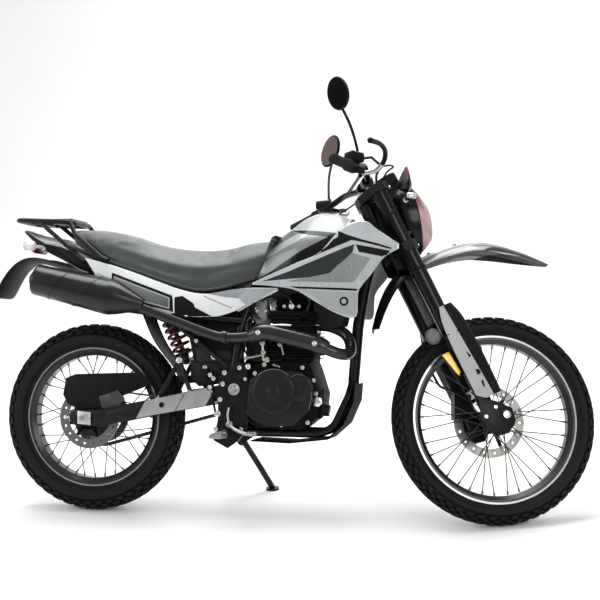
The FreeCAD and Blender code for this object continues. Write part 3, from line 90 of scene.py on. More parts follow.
lamp("top_soft", (-.4, .7, 4.3), (0, 0, .5), 3.6, 230, (1, 1, 1), 2.2)
lamp("front_soft", (2.6, -3.6, 2.6), (.2, 0, .55), 2.2, 70, (1, .99, .98))
lamp("rear_soft", (-3.4, -2.2, 1.9), (-.3, 0, .6), 1.8, 45, (.96, .98, 1))
lamp("far_soft", (-.5, 4.2, 2.4), (0, 0, .6), 3.0, 110, (1, 1, 1))
world = bpy.data.worlds.new("studio")
scene.world = world
world.use_nodes = True
wt = world.node_tree
bg = wt.nodes["Background"]
bg.inputs[0].default_value = (1, 1, 1, 1)
bg.inputs[1].default_value = 1.0
tc, sep, ramp = wt.nodes.new("ShaderNodeTexCoord"), wt.nodes.new("ShaderNodeSeparateXYZ"), wt.nodes.new("ShaderNodeValToRGB")
wt.links.new(tc.outputs["Generated"], sep.inputs[0])
wt.links.new(sep.outputs["Z"], ramp.inputs[0])
wt.links.new(ramp.outputs[0], bg.inputs[0])
ramp.color_ramp.elements[0].position, ramp.color_ramp.elements[0].color = 0, (.40, .40, .40, 1)
ramp.color_ramp.elements[1].position, ramp.color_ramp.elements[1].color = .8, (.72, .72, .72, 1)
e = ramp.color_ramp.elements.new(.12)
e.color = (.50, .50, .50, 1)

# ------------------------------------------------------------------ materials
class Mat:
    """A small builder for node materials. Coordinates are each object's own, in metres, which is the row frame at rest."""

    def __init__(self, name):
        self.m = bpy.data.materials.new(name)
        self.m.use_nodes = True
        self.t = self.m.node_tree
        self.b = self.t.nodes["Principled BSDF"]
        self.co = self.t.nodes.new("ShaderNodeTexCoord").outputs["Object"]

    def node(self, kind, **props):
        n = self.t.nodes.new("ShaderNode" + kind)
        for k, v in props.items():
            setattr(n, k, v)
        return n

    def link(self, a, b):
        self.t.links.new(a, b)

    def set(self, **kw):
        for k, v in kw.items():
            self.b.inputs[k.replace("_", " ")].default_value = v
        return self

    def coords(self, body):
        """Coordinates on the upright machine, in metres."""
        inv = (REST if body == "chassis" else REST @ STEER).inverted()
        n = self.node("Mapping")
        n.inputs["Location"].default_value = inv.to_translation() / 1000
        n.inputs["Rotation"].default_value = inv.to_3x3().to_euler("XYZ")
        self.link(self.co, n.inputs[0])
        return n.outputs[0]

    def scaled(self, vec, s):
        n = self.node("Mapping")
        n.inputs["Scale"].default_value = s
        self.link(vec, n.inputs[0])
        return n.outputs[0]

    def noise(self, scale, detail=3, rough=.5, vec=None):
        n = self.node("TexNoise")
        n.inputs["Scale"].default_value, n.inputs["Detail"].default_value, n.inputs["Roughness"].default_value = scale, detail, rough
        self.link(vec or self.co, n.inputs["Vector"])
        return n.outputs[0]

    def ramp(self, fac, stops):
        n = self.node("ValToRGB")
        r = n.color_ramp
        r.elements[0].position, r.elements[1].position = stops[0][0], stops[-1][0]
        r.elements[0].color, r.elements[1].color = rgba(stops[0][1]), rgba(stops[-1][1])
        for p, c in stops[1:-1]:
            r.elements.new(p).color = rgba(c)
        self.link(fac, n.inputs[0])
        return n.outputs[0]

    def span(self, v, a, b, c, d):
        n = self.node("MapRange")
        for i, x in enumerate((a, b, c, d)):
            n.inputs[i + 1].default_value = x
        self.link(v, n.inputs[0])
        return n.outputs[0]

    def mix(self, fac, a, b):
        n = self.node("Mix", data_type="RGBA")
        for key, val in (("Factor", fac), ("A", a), ("B", b)):
            sock = [s for s in n.inputs if s.name == key and (s.type == "RGBA" if key != "Factor" else s.type == "VALUE")][0]
            if hasattr(val, "is_output"):
                self.link(val, sock)
            elif key == "Factor":
                sock.default_value = val
            else:
                sock.default_value = rgba(val)
        return [s for s in n.outputs if s.type == "RGBA"][0]

    def math(self, op, a, b=None):
        n = self.node("Math", operation=op)
        for i, v in enumerate((a, b)):
            if v is None:
                continue
            if hasattr(v, "is_output"):
                self.link(v, n.inputs[i])
            else:
                n.inputs[i].default_value = v
        return n.outputs[0]

    def xyz(self, vec):
        n = self.node("SeparateXYZ")
        self.link(vec, n.inputs[0])
        return n.outputs

    def bump(self, height, strength, dist=.001, edge=0):
        n = self.node("Bump")
        n.inputs["Strength"].default_value, n.inputs["Distance"].default_value = strength, dist
        self.link(height, n.inputs["Height"])
        if edge:
            e = self.node("Bevel", samples=4)
            e.inputs["Radius"].default_value = edge
            self.link(e.outputs[0], n.inputs["Normal"])
        self.link(n.outputs[0], self.b.inputs["Normal"])
        return self

    def wear_and_highlight_edges(self, amount=1.0, radius=.0012):
        """A mask that is 1 on sharp edges."""
        e = self.node("Bevel", samples=4)
        e.inputs["Radius"].default_value = radius
        g = self.node("NewGeometry")
        d = self.node("VectorMath", operation="DOT_PRODUCT")
        self.link(e.outputs[0], d.inputs[0])
        self.link(g.outputs["Normal"], d.inputs[1])
        return self.span(d.outputs["Value"], .985, .86, 0, amount)


def rgba(c):
    if isinstance(c, (int, float)):
        return (c, c, c, 1)
    return tuple(c) + (1,) if len(c) == 3 else tuple(c)


def plain(name, colour, rough=.4, metal=0.0, coat=0.0, vary=.12, patch=9, grain=900, grain_h=.05, rough_vary=.08, edge=0, edge_wear_and_highlight=None, spec=None, sheen=0, coat_rough=.05):
    """Painted or moulded finish: slow colour drift, uneven gloss, fine grain and optional lighter edges, partly bare
    wear and partly a painted highlight.
    """
    m = Mat(name)
    lo, hi = [max(0, c * (1 - vary)) for c in colour], [min(1, c * (1 + vary)) for c in colour]
    base = m.ramp(m.noise(patch, 4), [(.3, lo), (.7, hi)])
    # sharp edges are lightened towards the given colour: partly wear, partly a painted highlight where light would
    # catch them
    if edge_wear_and_highlight:
        base = m.mix(m.math("MULTIPLY", m.wear_and_highlight_edges(1.0), m.span(m.noise(60, 5, .7), .42, .62, 0, edge_wear_and_highlight[1])), base, edge_wear_and_highlight[0])
    m.link(base, m.b.inputs["Base Color"])
    m.link(m.span(m.noise(patch * 4, 5, .6), .3, .7, max(.02, rough - rough_vary), min(1, rough + rough_vary)), m.b.inputs["Roughness"])
    m.set(Metallic=metal, Coat_Weight=coat, Coat_Roughness=coat_rough, Sheen_Weight=sheen)
    if spec is not None:
        m.b.inputs["Specular IOR Level"].default_value = spec
    m.bump(m.noise(grain, 2), grain_h, .0004, edge)
    return m.m


def brushed(name, colour, rough=.28, stretch=(1, 1, 30), scale=260, vary=.18, body=None, depth=.12, edge=.0008):
    m = Mat(name)
    vec = m.scaled(m.coords(body) if body else m.co, stretch)
    n = m.noise(scale / max(stretch), 6, .7, vec)
    lo, hi = [c * (1 - vary) for c in colour], [min(1, c * (1 + vary)) for c in colour]
    m.link(m.ramp(n, [(.3, lo), (.7, hi)]), m.b.inputs["Base Color"])
    m.link(m.span(n, .3, .7, rough - .08, rough + .1), m.b.inputs["Roughness"])
    m.set(Metallic=1.0)
    m.bump(n, depth, .0003, edge)
    return m.m


SILVER = plain("silver_paint", (.40, .415, .425), .30, .35, .5, .05, 6, 2600, .03, .05, .0006)
WHITE = plain("white_paint", (.56, .575, .585), .30, .0, .5, .03, 6, 1600, .03, .05, .0006)
LIGHT_GREY = plain("light_grey_paint", (.30, .315, .32), .32, .2, .4, .05, 8, 1900, .03, .05)
MID_GREY = plain("mid_grey_paint", (.135, .145, .147), .34, .15, .35, .07, 8, 1900, .03, .05)
KNEE_GREY = plain("knee_grey_paint", (.075, .081, .088), .36, .15, .3, .08, 8, 1900, .03, .05)
GRAPHITE = plain("graphite_paint", (.009, .012, .0125), .30, .1, .35, .15, 7, 1900, .03, .06, spec=.3)
BLACK_GLOSS = plain("black_gloss", (.0025, .0025, .003), .20, 0, .12, .2, 7, 1500, .03, .06, .0006, spec=.16)
BLACK_SATIN = plain("black_satin", (.003, .003, .0035), .40, 0, 0, .2, 14, 1100, .12, .08, .0008, spec=.12)
BLACK_PLASTIC = plain("black_moulded", (.0035, .0035, .004), .52, 0, 0, .18, 16, 1500, .35, .08, .0008, spec=.12)
# frame and castings: their pale edge colour is partly wear and partly a painted highlight on the edges
FRAME_BLACK = plain("frame_black", (.004, .004, .0045), .30, 0, .05, .2, 10, 800, .10, .08, .0009, ((.10, .10, .10), .5), spec=.18)
CAST_BLACK = plain("cast_black", (.0042, .0042, .0047), .44, 0, 0, .22, 18, 620, .55, .10, .0010, ((.12, .12, .12), .6), spec=.14)
PIPE_BLACK = plain("pipe_black", (.0055, .007, .0085), .34, .3, .05, .3, 12, 900, .10, .10, .0008, spec=.35)
STEEL = plain("bright_steel", (.46, .46, .455), .24, 1.0, 0, .10, 20, 1400, .05, .10, .0006)
DULL_STEEL = plain("dull_steel", (.17, .168, .165), .42, 1.0, 0, .18, 22, 900, .15, .12, .0006)
DARK_STEEL = plain("dark_steel", (.045, .045, .046), .40, 1.0, 0, .18, 22, 900, .15, .12, .0006)
ALU = plain("cast_aluminium", (.34, .34, .34), .40, .9, 0, .12, 20, 700, .35, .10, .0009)
ALU_BRUSHED = brushed("brushed_aluminium", (.36, .37, .38), .30, (30, 1, 1), 260)
RED = plain("spring_red", (.30, .006, .008), .28, 0, .4, .12, 12, 900, .06, .06, .0006)
AMBER = plain("amber_lens", (.80, .42, .02), .16, 0, .5, .10, 12, 400, .05, .04)
SMOKE = plain("smoked_lens", (.045, .035, .03), .12, 0, .6, .10, 12, 400, .05, .04)
CLEAR = plain("clear_lens", (.42, .43, .44), .10, 0, .8, .08, 12, 400, .05, .03)
RUBBER = plain("black_rubber", (.006, .006, .0065), .62, 0, 0, .25, 30, 700, .5, .08, .0008, spec=.25)
BRASS = plain("bolt_zinc", (.42, .41, .37), .34, 1.0, 0, .12, 20, 900, .1, .08)

# ------------------------------------------------------------------ mesh kit (millimetres, upright machine)
def smooth_line(points, n, closed=False):
    """n points per run on a smooth curve through the points."""
    pts = [Vector(p) for p in points]
    if len(pts) < 3 and not closed:
        return [pts[0].lerp(pts[1], i / n) for i in range(n + 1)]
    c = len(pts)
    out = []
    runs = c if closed else c - 1
    for i in range(runs):
        p1, p2 = pts[i], pts[(i + 1) % c]
        p0 = pts[(i - 1) % c] if closed or i else p1 * 2 - p2
        p3 = pts[(i + 2) % c] if closed or i + 2 < c else p2 * 2 - p1
        d0, d1, d2 = [max((b - a).length, 1e-6) ** .5 for a, b in ((p0, p1), (p1, p2), (p2, p3))]
        m1 = ((p1 - p0) / d0 - (p2 - p0) / (d0 + d1) + (p2 - p1) / d1) * d1
        m2 = ((p2 - p1) / d1 - (p3 - p1) / (d1 + d2) + (p3 - p2) / d2) * d1
        for k in range(n):
            t = k / n
            out.append(p1 * (2 * t ** 3 - 3 * t ** 2 + 1) + m1 * (t ** 3 - 2 * t ** 2 + t) + p2 * (3 * t ** 2 - 2 * t ** 3) + m2 * (t ** 3 - t ** 2))
    if not closed:
        out.append(pts[-1])
    return out


def along(points, fractions):
    """Points of a smooth curve at the given fractions of its length."""
    line = smooth_line(points, 16)
    d = [0]
    for a, b in zip(line, line[1:]):
        d.append(d[-1] + (b - a).length)
    out, k = [], 0
    for f in fractions:
        s = f * d[-1]
        while k < len(d) - 2 and d[k + 1] < s:
            k += 1
        w = (s - d[k]) / max(d[k + 1] - d[k], 1e-9)
        out.append(line[k].lerp(line[k + 1], min(1, max(0, w))))
    return out


def edgy(n, close=(0, .004, .012)):
    """Fractions 0..1 with extra ones next to both ends, to carry a rounded rim."""
    mid = [close[-1] + (1 - 2 * close[-1]) * i / n for i in range(1, n)]
    return list(close) + mid + [1 - c for c in reversed(close)]


class Build:
    def __init__(self):
        self.v, self.f, self.m = [], [], []

    def add(self, verts, faces, mat=0):
        o = len(self.v)
        self.v += [Vector(p) for p in verts]
        for i, f in enumerate(faces):
            self.f.append([k + o for k in f])
            self.m.append(mat[i] if isinstance(mat, (list, tuple)) else mat)
        return self

    def grid(self, rows, mat=0, closed=False, caps=False, wrap=False):
        n = len(rows[0])
        faces = []
        for r in range(len(rows) if wrap else len(rows) - 1):
            for k in range(n if closed else n - 1):
                a, b = r * n + k, r * n + (k + 1) % n
                c, d = ((r + 1) % len(rows)) * n + (k + 1) % n, ((r + 1) % len(rows)) * n + k
                faces.append([a, b, c, d])
        if caps:
            faces.append(list(range(n))[::-1])
            faces.append([(len(rows) - 1) * n + k for k in range(n)])
        return self.add([p for row in rows for p in row], faces, mat)

    def tube(self, points, r, seg=14, n=6, mat=0, closed=False, flat=None):
        """A round (or flattened) bar along a smooth curve; r is one radius or one per point."""
        line = smooth_line(points, n, closed) if n else [Vector(p) for p in points]
        m = len(line)
        radii = r if callable(r) else (lambda t: r) if isinstance(r, (int, float)) else None
        if radii is None:
            rr = list(r)
            radii = lambda t: rr[min(int(t * (len(rr) - 1)), len(rr) - 2)] * (1 - (t * (len(rr) - 1)) % 1) + rr[min(int(t * (len(rr) - 1)) + 1, len(rr) - 1)] * ((t * (len(rr) - 1)) % 1) if t < 1 else rr[-1]
        tang = []
        for i in range(m):
            a = line[(i - 1) % m] if closed or i else line[0]
            b = line[(i + 1) % m] if closed or i < m - 1 else line[-1]
            tang.append((b - a).normalized())
        side = tang[0].orthogonal().normalized()
        rows = []
        for i in range(m):
            side = (side - tang[i] * side.dot(tang[i])).normalized()
            other = tang[i].cross(side)
            rd = radii(i / (m - 1))
            rows.append([line[i] + side * (cos(2 * pi * k / seg) * rd) + other * (sin(2 * pi * k / seg) * rd * (flat or 1)) for k in range(seg)])
        return self.grid(rows, mat, True, not closed, closed)

    def lathe(self, profile, at, axis, seg=32, mat=0, caps=True):
        """profile: (along, radius) pairs turned about the axis through at."""
        at, ax = Vector(at), Vector(axis).normalized()
        s = ax.orthogonal().normalized()
        o = ax.cross(s)
        rows = [[at + ax * a + (s * cos(2 * pi * k / seg) + o * sin(2 * pi * k / seg)) * r for k in range(seg)] for a, r in profile]
        return self.grid(rows, mat, True, caps)

    def rod(self, p, q, r, c=None, seg=24, mat=0):
        """A cylinder from p to q with broken edges."""
        p, q = Vector(p), Vector(q)
        h = (q - p).length
        c = min(r * .25, h * .2, 1.5) if c is None else c
        return self.lathe([(0, r - c), (c * .3, r - c * .3), (c, r), (h - c, r), (h - c * .3, r - c * .3), (h, r - c)], p, q - p, seg, mat)

    def bolt(self, p, d, r=6, h=4, mat=0, washer=True):
        """A hexagon bolt head on a washer, standing on p and facing d."""
        p, d = Vector(p), Vector(d).normalized()
        if washer:
            self.lathe([(-1, r * 1.35), (1.2, r * 1.35), (1.4, r * 1.25)], p, d, 20, mat)
        self.lathe([(-1, r), (h - .8, r), (h, r * .8), (h, r * .45), (h - r * .2, r * .4)], p + d * (1 if washer else 0), d, 6, mat)
        return self

    def block(self, c, size, rot=None, r=2, mat=0, taper=0):
        """A box with rounded edges, centred on c."""
        x, y, z = [s / 2 for s in size]
        r = min(r, x * .9, y * .9, z * .9)
        rows = []
        for zz, inset in ((-z, r), (-z + r * .3, r * .3), (-z + r, 0), (z - r, 0), (z - r * .3, r * .3), (z, r)):
            k = 1 - taper * (zz + z) / (2 * z)
            X, Y = (x - inset) * k, (y - inset) * k
            q = r * .6
            rows.append([Vector((a, b, zz)) for a, b in ((X - q, -Y), (X, -Y + q), (X, Y - q), (X - q, Y), (-X + q, Y), (-X, Y - q), (-X, -Y + q), (-X + q, -Y))])
        R = rot or Matrix.Identity(3)
        rows = [[R @ p + Vector(c) for p in row] for row in rows]
        return self.grid(rows, mat, True, True)

    def extrude(self, outline, y0, y1, mat=0, bevel=1.2):
        """A flat plate cut to a side-view outline (x, z) between y0 and y1, with broken edges."""
        pts = [Vector((x, 0, z)) for x, z in outline]
        area = sum(a.x * b.z - b.x * a.z for a, b in zip(pts, pts[1:] + pts[:1]))
        if area < 0:
            pts.reverse()
        n = len(pts)

        def inset(d):
            out = []
            for i in range(n):
                a, b, c = pts[i - 1], pts[i], pts[(i + 1) % n]
                e1, e2 = (b - a).normalized(), (c - b).normalized()
                n1, n2 = Vector((-e1.z, 0, e1.x)), Vector((-e2.z, 0, e2.x))
                k = (n1 + n2)
                k = k / max(.35, k.length_squared / 2) if k.length > 1e-6 else n1
                out.append(b + k * d)
            return out
        s = 1 if y1 > y0 else -1
        b = bevel
        rows = []
        for y, d in ((y0, b), (y0 + s * b * .3, b * .3), (y0 + s * b, 0), (y1 - s * b, 0), (y1 - s * b * .3, b * .3), (y1, b)):
            rows.append([Vector((p.x, y, p.z)) for p in inset(d)])
        return self.grid(rows, mat, True, True)

    def mirrored(self):
        """Adds the left-hand copy of everything so far."""
        o = len(self.v)
        self.v += [Vector((p.x, -p.y, p.z)) for p in self.v]
        self.f += [[k + o for k in reversed(f)] for f in self.f]
        self.m += list(self.m)
        return self

    def tree(self):
        return BVHTree.FromPolygons([tuple(p) for p in self.v], self.f)

    def object(self, name, group, mats, angle=38, body=None, replaces=(), slot=None, weld=0, fix=True):
        g = PLACE[group]
        me = bpy.data.meshes.new(name)
        me.from_pydata([g @ p for p in self.v], [], self.f)
        for m in (mats if isinstance(mats, (list, tuple)) else [mats]):
            me.materials.append(m)
        me.polygons.foreach_set("material_index", self.m)
        if weld or fix:
            bm = bmesh.new()
            bm.from_mesh(me)
            if weld:
                bmesh.ops.remove_doubles(bm, verts=bm.verts, dist=weld / 1000)
            bmesh.ops.recalc_face_normals(bm, faces=bm.faces)
            bm.to_mesh(me)
            bm.free()
        me.shade_smooth()
        if angle:
            me.set_sharp_from_angle(angle=rad(angle))
        o = bpy.data.objects.new(name, me)
        scene.collection.objects.link(o)
        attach(o, body or group)
        if replaces:
            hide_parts(*([replaces] if isinstance(replaces, str) else replaces))
        return o


def values(rows, fr, key=0):
    """Smoothly resampled rows of numbers; the first number is the distance along."""
    n = len(rows)
    x = [r[key] for r in rows]
    span = [0]
    for a, b in zip(rows, rows[1:]):
        span.append(span[-1] + max(1e-6, abs(b[key] - a[key]) + abs(b[1] - a[1]) * .6))
    out = []
    for f in fr:
        s = f * span[-1]
        i = max(k for k in range(n - 1) if span[k] <= s + 1e-9)
        h = span[i + 1] - span[i]
        t = min(1, max(0, (s - span[i]) / h))
        row = []
        for c in range(len(rows[0])):
            def slope(k):
                if k in (0, n - 1):
                    a, b = (0, 1) if k == 0 else (n - 2, n - 1)
                    return (rows[b][c] - rows[a][c]) / (span[b] - span[a])
                return (rows[k + 1][c] - rows[k - 1][c]) / (span[k + 1] - span[k - 1])
            m1, m2 = slope(i) * h, slope(i + 1) * h
            row.append(rows[i][c] * (2 * t ** 3 - 3 * t ** 2 + 1) + m1 * (t ** 3 - 2 * t ** 2 + t) + rows[i + 1][c] * (3 * t ** 2 - 2 * t ** 3) + m2 * (t ** 3 - t ** 2))
        out.append(row)
    return out


def ring(row, per=5, shape=None):
    """A closed body section from (x, top, bottom, top half-width, widest, bottom half-width, height of widest, lean)."""
    x, zt, zb, wt_, wm, wb, zm = row[:7]
    lean = row[7] if len(row) > 7 else 0
    pts = [(0, zt), (wt_ * .62, zt - (zt - zm) * .06), (wt_, zt - (zt - zm) * .28), (wm * .985, zm + (zt - zm) * .28), (wm, zm - (zm - zb) * .2), (wb + (wm - wb) * .45, zb + (zm - zb) * .22), (wb * .8, zb + (zm - zb) * .02), (0, zb)]
    if shape:
        pts = shape(row)
    loop = [Vector((x, -y, z)) for y, z in pts] + [Vector((x, y, z)) for y, z in reversed(pts[1:-1])]
    loop = smooth_line(loop, per, True)
    return [Vector((p.x + lean * (p.z - zm), p.y, p.z)) for p in loop]


def body_loft(rows, steps=40, per=5, cap=(8, 8), shape=None):
    """Rings of a closed shell through the sections, with rounded ends."""
    rings = [ring(r, per, shape) for r in values(rows, [i / steps for i in range(steps + 1)])]

    def ends(r, nxt, depth):
        if not depth:
            return []
        c = sum(r, Vector()) / len(r)
        out = (c - sum(nxt, Vector()) / len(nxt)).normalized()
        size = max((p - c).length for p in r)
        res = []
        for a in (25, 50, 70, 90):
            k = 1 - (depth / size) * (1 - cos(rad(a))) if a < 90 else 0
            res.append([c + (p - c) * k + out * depth * (sin(rad(a)) - 0) for p in r])
        res.insert(3, [c + (p - c) * (1 - depth / size) * .5 + out * depth for p in r])
        return res
    a, b = ends(rings[0], rings[1], cap[0]), ends(rings[-1], rings[-2], cap[1])
    return list(reversed(a)) + rings + b


def panel(rows, thick=3, nu=56, nv=22, roll=2.2, y_in=1):
    """A body panel: rows of (x, y, z) from its top edge to its bottom edge. Its rim rolls inward."""
    fv, fu = edgy(nv), edgy(nu)
    dense = [along(r, fv) for r in rows]
    cols = [along([row[k] for row in dense], fu) for k in range(len(fv))]
    face = [[cols[k][i].copy() for k in range(len(fv))] for i in range(len(fu))]
    n, m = len(face), len(face[0])
    push = {0: roll, 1: roll * .3}
    for i in range(n):
        for k in range(m):
            d = min(i, k, n - 1 - i, m - 1 - k)
            if d in push:
                face[i][k].y += y_in * push[d]
    back = [[p + Vector((0, y_in * thick, 0)) if min(i, k, n - 1 - i, m - 1 - k) else p + Vector((0, y_in * (thick - roll), 0)) for k, p in enumerate(row)] for i, row in enumerate(face)]
    return face, back


def add_panel(b, face, back, mat=0):
    n, m = len(face), len(face[0])
    b.grid(face, mat)
    b.grid([list(reversed(r)) for r in back], mat)
    rim_f = [face[0][k] for k in range(m)] + [face[i][m - 1] for i in range(1, n)] + [face[n - 1][k] for k in range(m - 2, -1, -1)] + [face[i][0] for i in range(n - 2, 0, -1)]
    rim_b = [back[0][k] for k in range(m)] + [back[i][m - 1] for i in range(1, n)] + [back[n - 1][k] for k in range(m - 2, -1, -1)] + [back[i][0] for i in range(n - 2, 0, -1)]
    b.grid([rim_b, rim_f], mat, True)
    return b


def film(name, outline, tree, mat, lift=.35, cell=7, both=True, group="chassis", soft=False, start=-420, inward=1, slot=None):
    """A painted area: a side-view outline (x, z) laid onto the right side of a surface, a fraction of a millimetre proud, and mirrored to the left."""
    pts = [Vector(p) for p in (smooth_line([(x, 0, z) for x, z in outline], 6, True) if soft else [(x, 0, z) for x, z in outline])]
    bm = bmesh.new()
    vs = [bm.verts.new(p) for p in pts]
    bm.faces.new(vs)
    xs, zs = [p.x for p in pts], [p.z for p in pts]
    for axis, lo, hi in (("x", min(xs), max(xs)), ("z", min(zs), max(zs))):
        nrm = (1, 0, 0) if axis == "x" else (0, 0, 1)
        c = lo + cell
        while c < hi:
            bmesh.ops.bisect_plane(bm, geom=bm.verts[:] + bm.edges[:] + bm.faces[:], plane_co=(c, 0, 0) if axis == "x" else (0, 0, c), plane_no=nrm, dist=1e-4)
            c += cell
    bmesh.ops.triangulate(bm, faces=[f for f in bm.faces if len(f.verts) > 4])
    lifted = {}
    for v in bm.verts:
        hit = tree.ray_cast(Vector((v.co.x, start, v.co.z)), Vector((0, 1, 0)))
        if hit[0] is None:
            hit = tree.find_nearest(Vector((v.co.x, -150, v.co.z)))
            v.co.y = hit[0].y
        else:
            v.co.y = hit[0].y
        nrm = hit[1] if hit[1].y < 0 else -hit[1]
        lifted[v] = (nrm + Vector((0, -.4, 0))).normalized()
    bm.normal_update()
    bm.verts.index_update()
    top = [v.co.copy() for v in bm.verts]
    up = [lifted[v] for v in bm.verts]
    faces = [[v.index for v in f.verts] for f in bm.faces]
    rim = [e for e in bm.edges if e.is_boundary]
    pairs = [(e.verts[0].index, e.verts[1].index) for e in rim]
    bm.free()
    b = Build()
    n = len(top)
    low = [p - u * .6 for p, u in zip(top, up)]
    b.add([p + u * (lift + .35) for p, u in zip(top, up)] + low, faces + [[k + n for k in reversed(f)] for f in faces] + [[i, k, k + n, i + n] for i, k in pairs])
    if both:
        b.mirrored()
    return b.object(name, group, mat, 30, slot=slot)

# ------------------------------------------------------------------ wheels
def tyre_rubber(name, centre, body):
    """Knobbly tyre rubber: black with slow blotches and fine dusty specks all over."""
    m = Mat(name)
    big, fine = m.noise(14, 5, .6), m.noise(240, 4, .7)
    base = m.mix(m.span(big, .35, .7, 0, .5), (.0035, .0035, .004), (.009, .009, .0095))
    m.link(m.mix(m.span(fine, .5, .75, 0, .35), base, (.022, .022, .023)), m.b.inputs["Base Color"])
    m.link(m.span(m.noise(40, 5, .6), .3, .7, .52, .74), m.b.inputs["Roughness"])
    m.b.inputs["Specular IOR Level"].default_value = .16
    m.bump(m.noise(620, 3, .7), .35, .0006, .0008)
    return m.m


def tyre(name, centre, group, R, H, F, rimhalf, sag, knob, count, rows, mat):
    half = H * .89
    rc = (half ** 2 + sag ** 2) / (2 * sag)
    c0 = R - rc

    def at(th, ph, hh):
        q = rc - knob + hh
        r = c0 + q * cos(ph)
        return centre + Vector((r * cos(th), q * sin(ph), r * sin(th)))
    b = Build()
    seg = 180
    wall = [(rimhalf + 2, F + 3), (rimhalf + 4.5, F + 9), (H - 5, F + 16), (H - 1.6, (F + R - sag) / 2 + 2), (H - .4, (F + R - sag) / 2 + 12), (H - 1.2, R - sag - 9)]
    side = [Vector((r, y, 0)) for y, r in wall]
    end = rad(62)
    crown = [Vector((c0 + (rc - knob) * cos(end * k / 6), (rc - knob) * sin(end * k / 6), 0)) for k in range(6, -1, -1)]
    prof = smooth_line(side, 3) + crown
    prof = prof + [Vector((p.x, -p.y, 0)) for p in reversed(prof[:-1])]
    # two thin ribs on each side wall
    fine = []
    for i, p in enumerate(prof):
        fine.append(p)
    rings = []
    for k in range(seg):
        th = 2 * pi * k / seg
        rings.append([centre + Vector((p.x * cos(th), p.y, p.x * sin(th))) for p in fine])
    b.grid(rings, 0, False, False, True)
    # bead ledge hidden in the rim
    inner = [[centre + Vector((r * cos(2 * pi * k / seg), y, r * sin(2 * pi * k / seg))) for y, r in ((-rimhalf - 2, F + 3), (-rimhalf + 5, F - 2), (rimhalf - 5, F - 2), (rimhalf + 2, F + 3))] for k in range(seg)]
    b.grid([list(reversed(r)) for r in inner], 0, False, False, True)
    for rib in (F + 13.5, F + 20):
        for s in (1, -1):
            y = 0
            for p, q in zip(prof, prof[1:]):
                if p.y * s > 0 and min(p.x, q.x) <= rib <= max(p.x, q.x) and abs(q.x - p.x) > 1e-6:
                    y = p.y + (q.y - p.y) * (rib - p.x) / (q.x - p.x)
            rows_ = [[centre + Vector((r * cos(2 * pi * k / seg), yy, r * sin(2 * pi * k / seg))) for r, yy in ((rib - 1.1, y - s * .6), (rib - .5, y + s * .7), (rib + .5, y + s * .7), (rib + 1.1, y - s * .6))] for k in range(seg)]
            b.grid(rows_, 0, False, False, True)
    for ph0, la, lb, off, low, skew in rows:
        for k in range(count):
            for s in ((1, -1) if ph0 else (1,)):
                th = 2 * pi * (k + (off if s > 0 else off + .5)) / count
                ph = rad(ph0) * s
                da, db = la / R, lb / rc
                layers = []
                for hh, sh in ((-low, -.12), (knob - 1.2, 0), (knob - .35, .06), (knob, .14)):
                    A, B = da * (1 - sh), db * (1 - sh)
                    pts = []
                    for u, v in ((-1, -1), (-.2, -1.0), (1, -1), (1, 1), (.2, 1.0), (-1, 1)):
                        pts.append(at(th + A * u + skew * B * v * s * .35, ph + B * v, hh))
                    layers.append(pts)
                b.grid(layers, 0, True, True)
    return b.object(name, group, mat, 32, replaces=name.replace("_rubber", ""))


FRONT_RUBBER = tyre_rubber("front_tyre_rubber", FRONT, "steering")
tyre("front_tyre_rubber", FRONT, "front_wheel", 348, 44, 280.5, 25, 25, 9.5, 54,
     [(0, 11.5, 8.2, 0, 1, 0), (23, 11, 5.2, .5, 1, .5), (41, 11.5, 5.4, 0, 1, -.4), (59, 11.5, 6.6, .5, 3, 0)], FRONT_RUBBER)
tyre("rear_tyre_rubber", REAR, "rear_wheel", 326, 55, 242.5, 32, 31, 10, 47,
     [(0, 12.5, 10, 0, 1, 0), (22, 12, 6.6, .5, 1, .5), (41, 12, 6.6, 0, 1, -.4), (59, 12.5, 7.4, .5, 3, 0)], FRONT_RUBBER)


def wheel_metal(name, centre, body, zones, edge=.0007):
    """A turned part whose finish changes with the distance from its axle: zones are (radius mm, colour, metallic, roughness) from the middle out."""
    m = Mat(name)
    x = m.xyz(m.coords(body))
    dx, dz = m.math("SUBTRACT", x["X"], centre.x / 1000), m.math("SUBTRACT", x["Z"], centre.z / 1000)
    r = m.math("SQRT", m.math("ADD", m.math("MULTIPLY", dx, dx), m.math("MULTIPLY", dz, dz)))
    n = m.noise(26, 5, .6)
    col, met, rough = zones[0][1], None, None
    base = m.ramp(n, [(.3, [c * .85 for c in col]), (.7, [min(1, c * 1.1) for c in col])])
    met = m.span(r, -1, 0, zones[0][2], zones[0][2])
    rough = m.span(n, .3, .7, zones[0][3] - .05, zones[0][3] + .06)
    for lim, col, me, ro in zones[1:]:
        mask = m.span(r, lim / 1000 - .0003, lim / 1000 + .0003, 0, 1)
        base = m.mix(mask, base, m.ramp(n, [(.3, [c * .9 for c in col]), (.7, [min(1, c * 1.06) for c in col])]))
        a = m.node("Mix", data_type="FLOAT")
        for sock, val in ((0, mask), (2, met), (3, me)):
            if hasattr(val, "is_output"):
                m.link(val, a.inputs[sock])
            else:
                a.inputs[sock].default_value = val
        met = a.outputs[0]
        a = m.node("Mix", data_type="FLOAT")
        for sock, val in ((0, mask), (2, rough), (3, ro)):
            if hasattr(val, "is_output"):
                m.link(val, a.inputs[sock])
            else:
                a.inputs[sock].default_value = val
        rough = a.outputs[0]
    m.link(base, m.b.inputs["Base Color"])
    m.link(met, m.b.inputs["Metallic"])
    m.link(rough, m.b.inputs["Roughness"])
    m.bump(m.noise(900, 2), .06, .0003, edge)
    return m.m


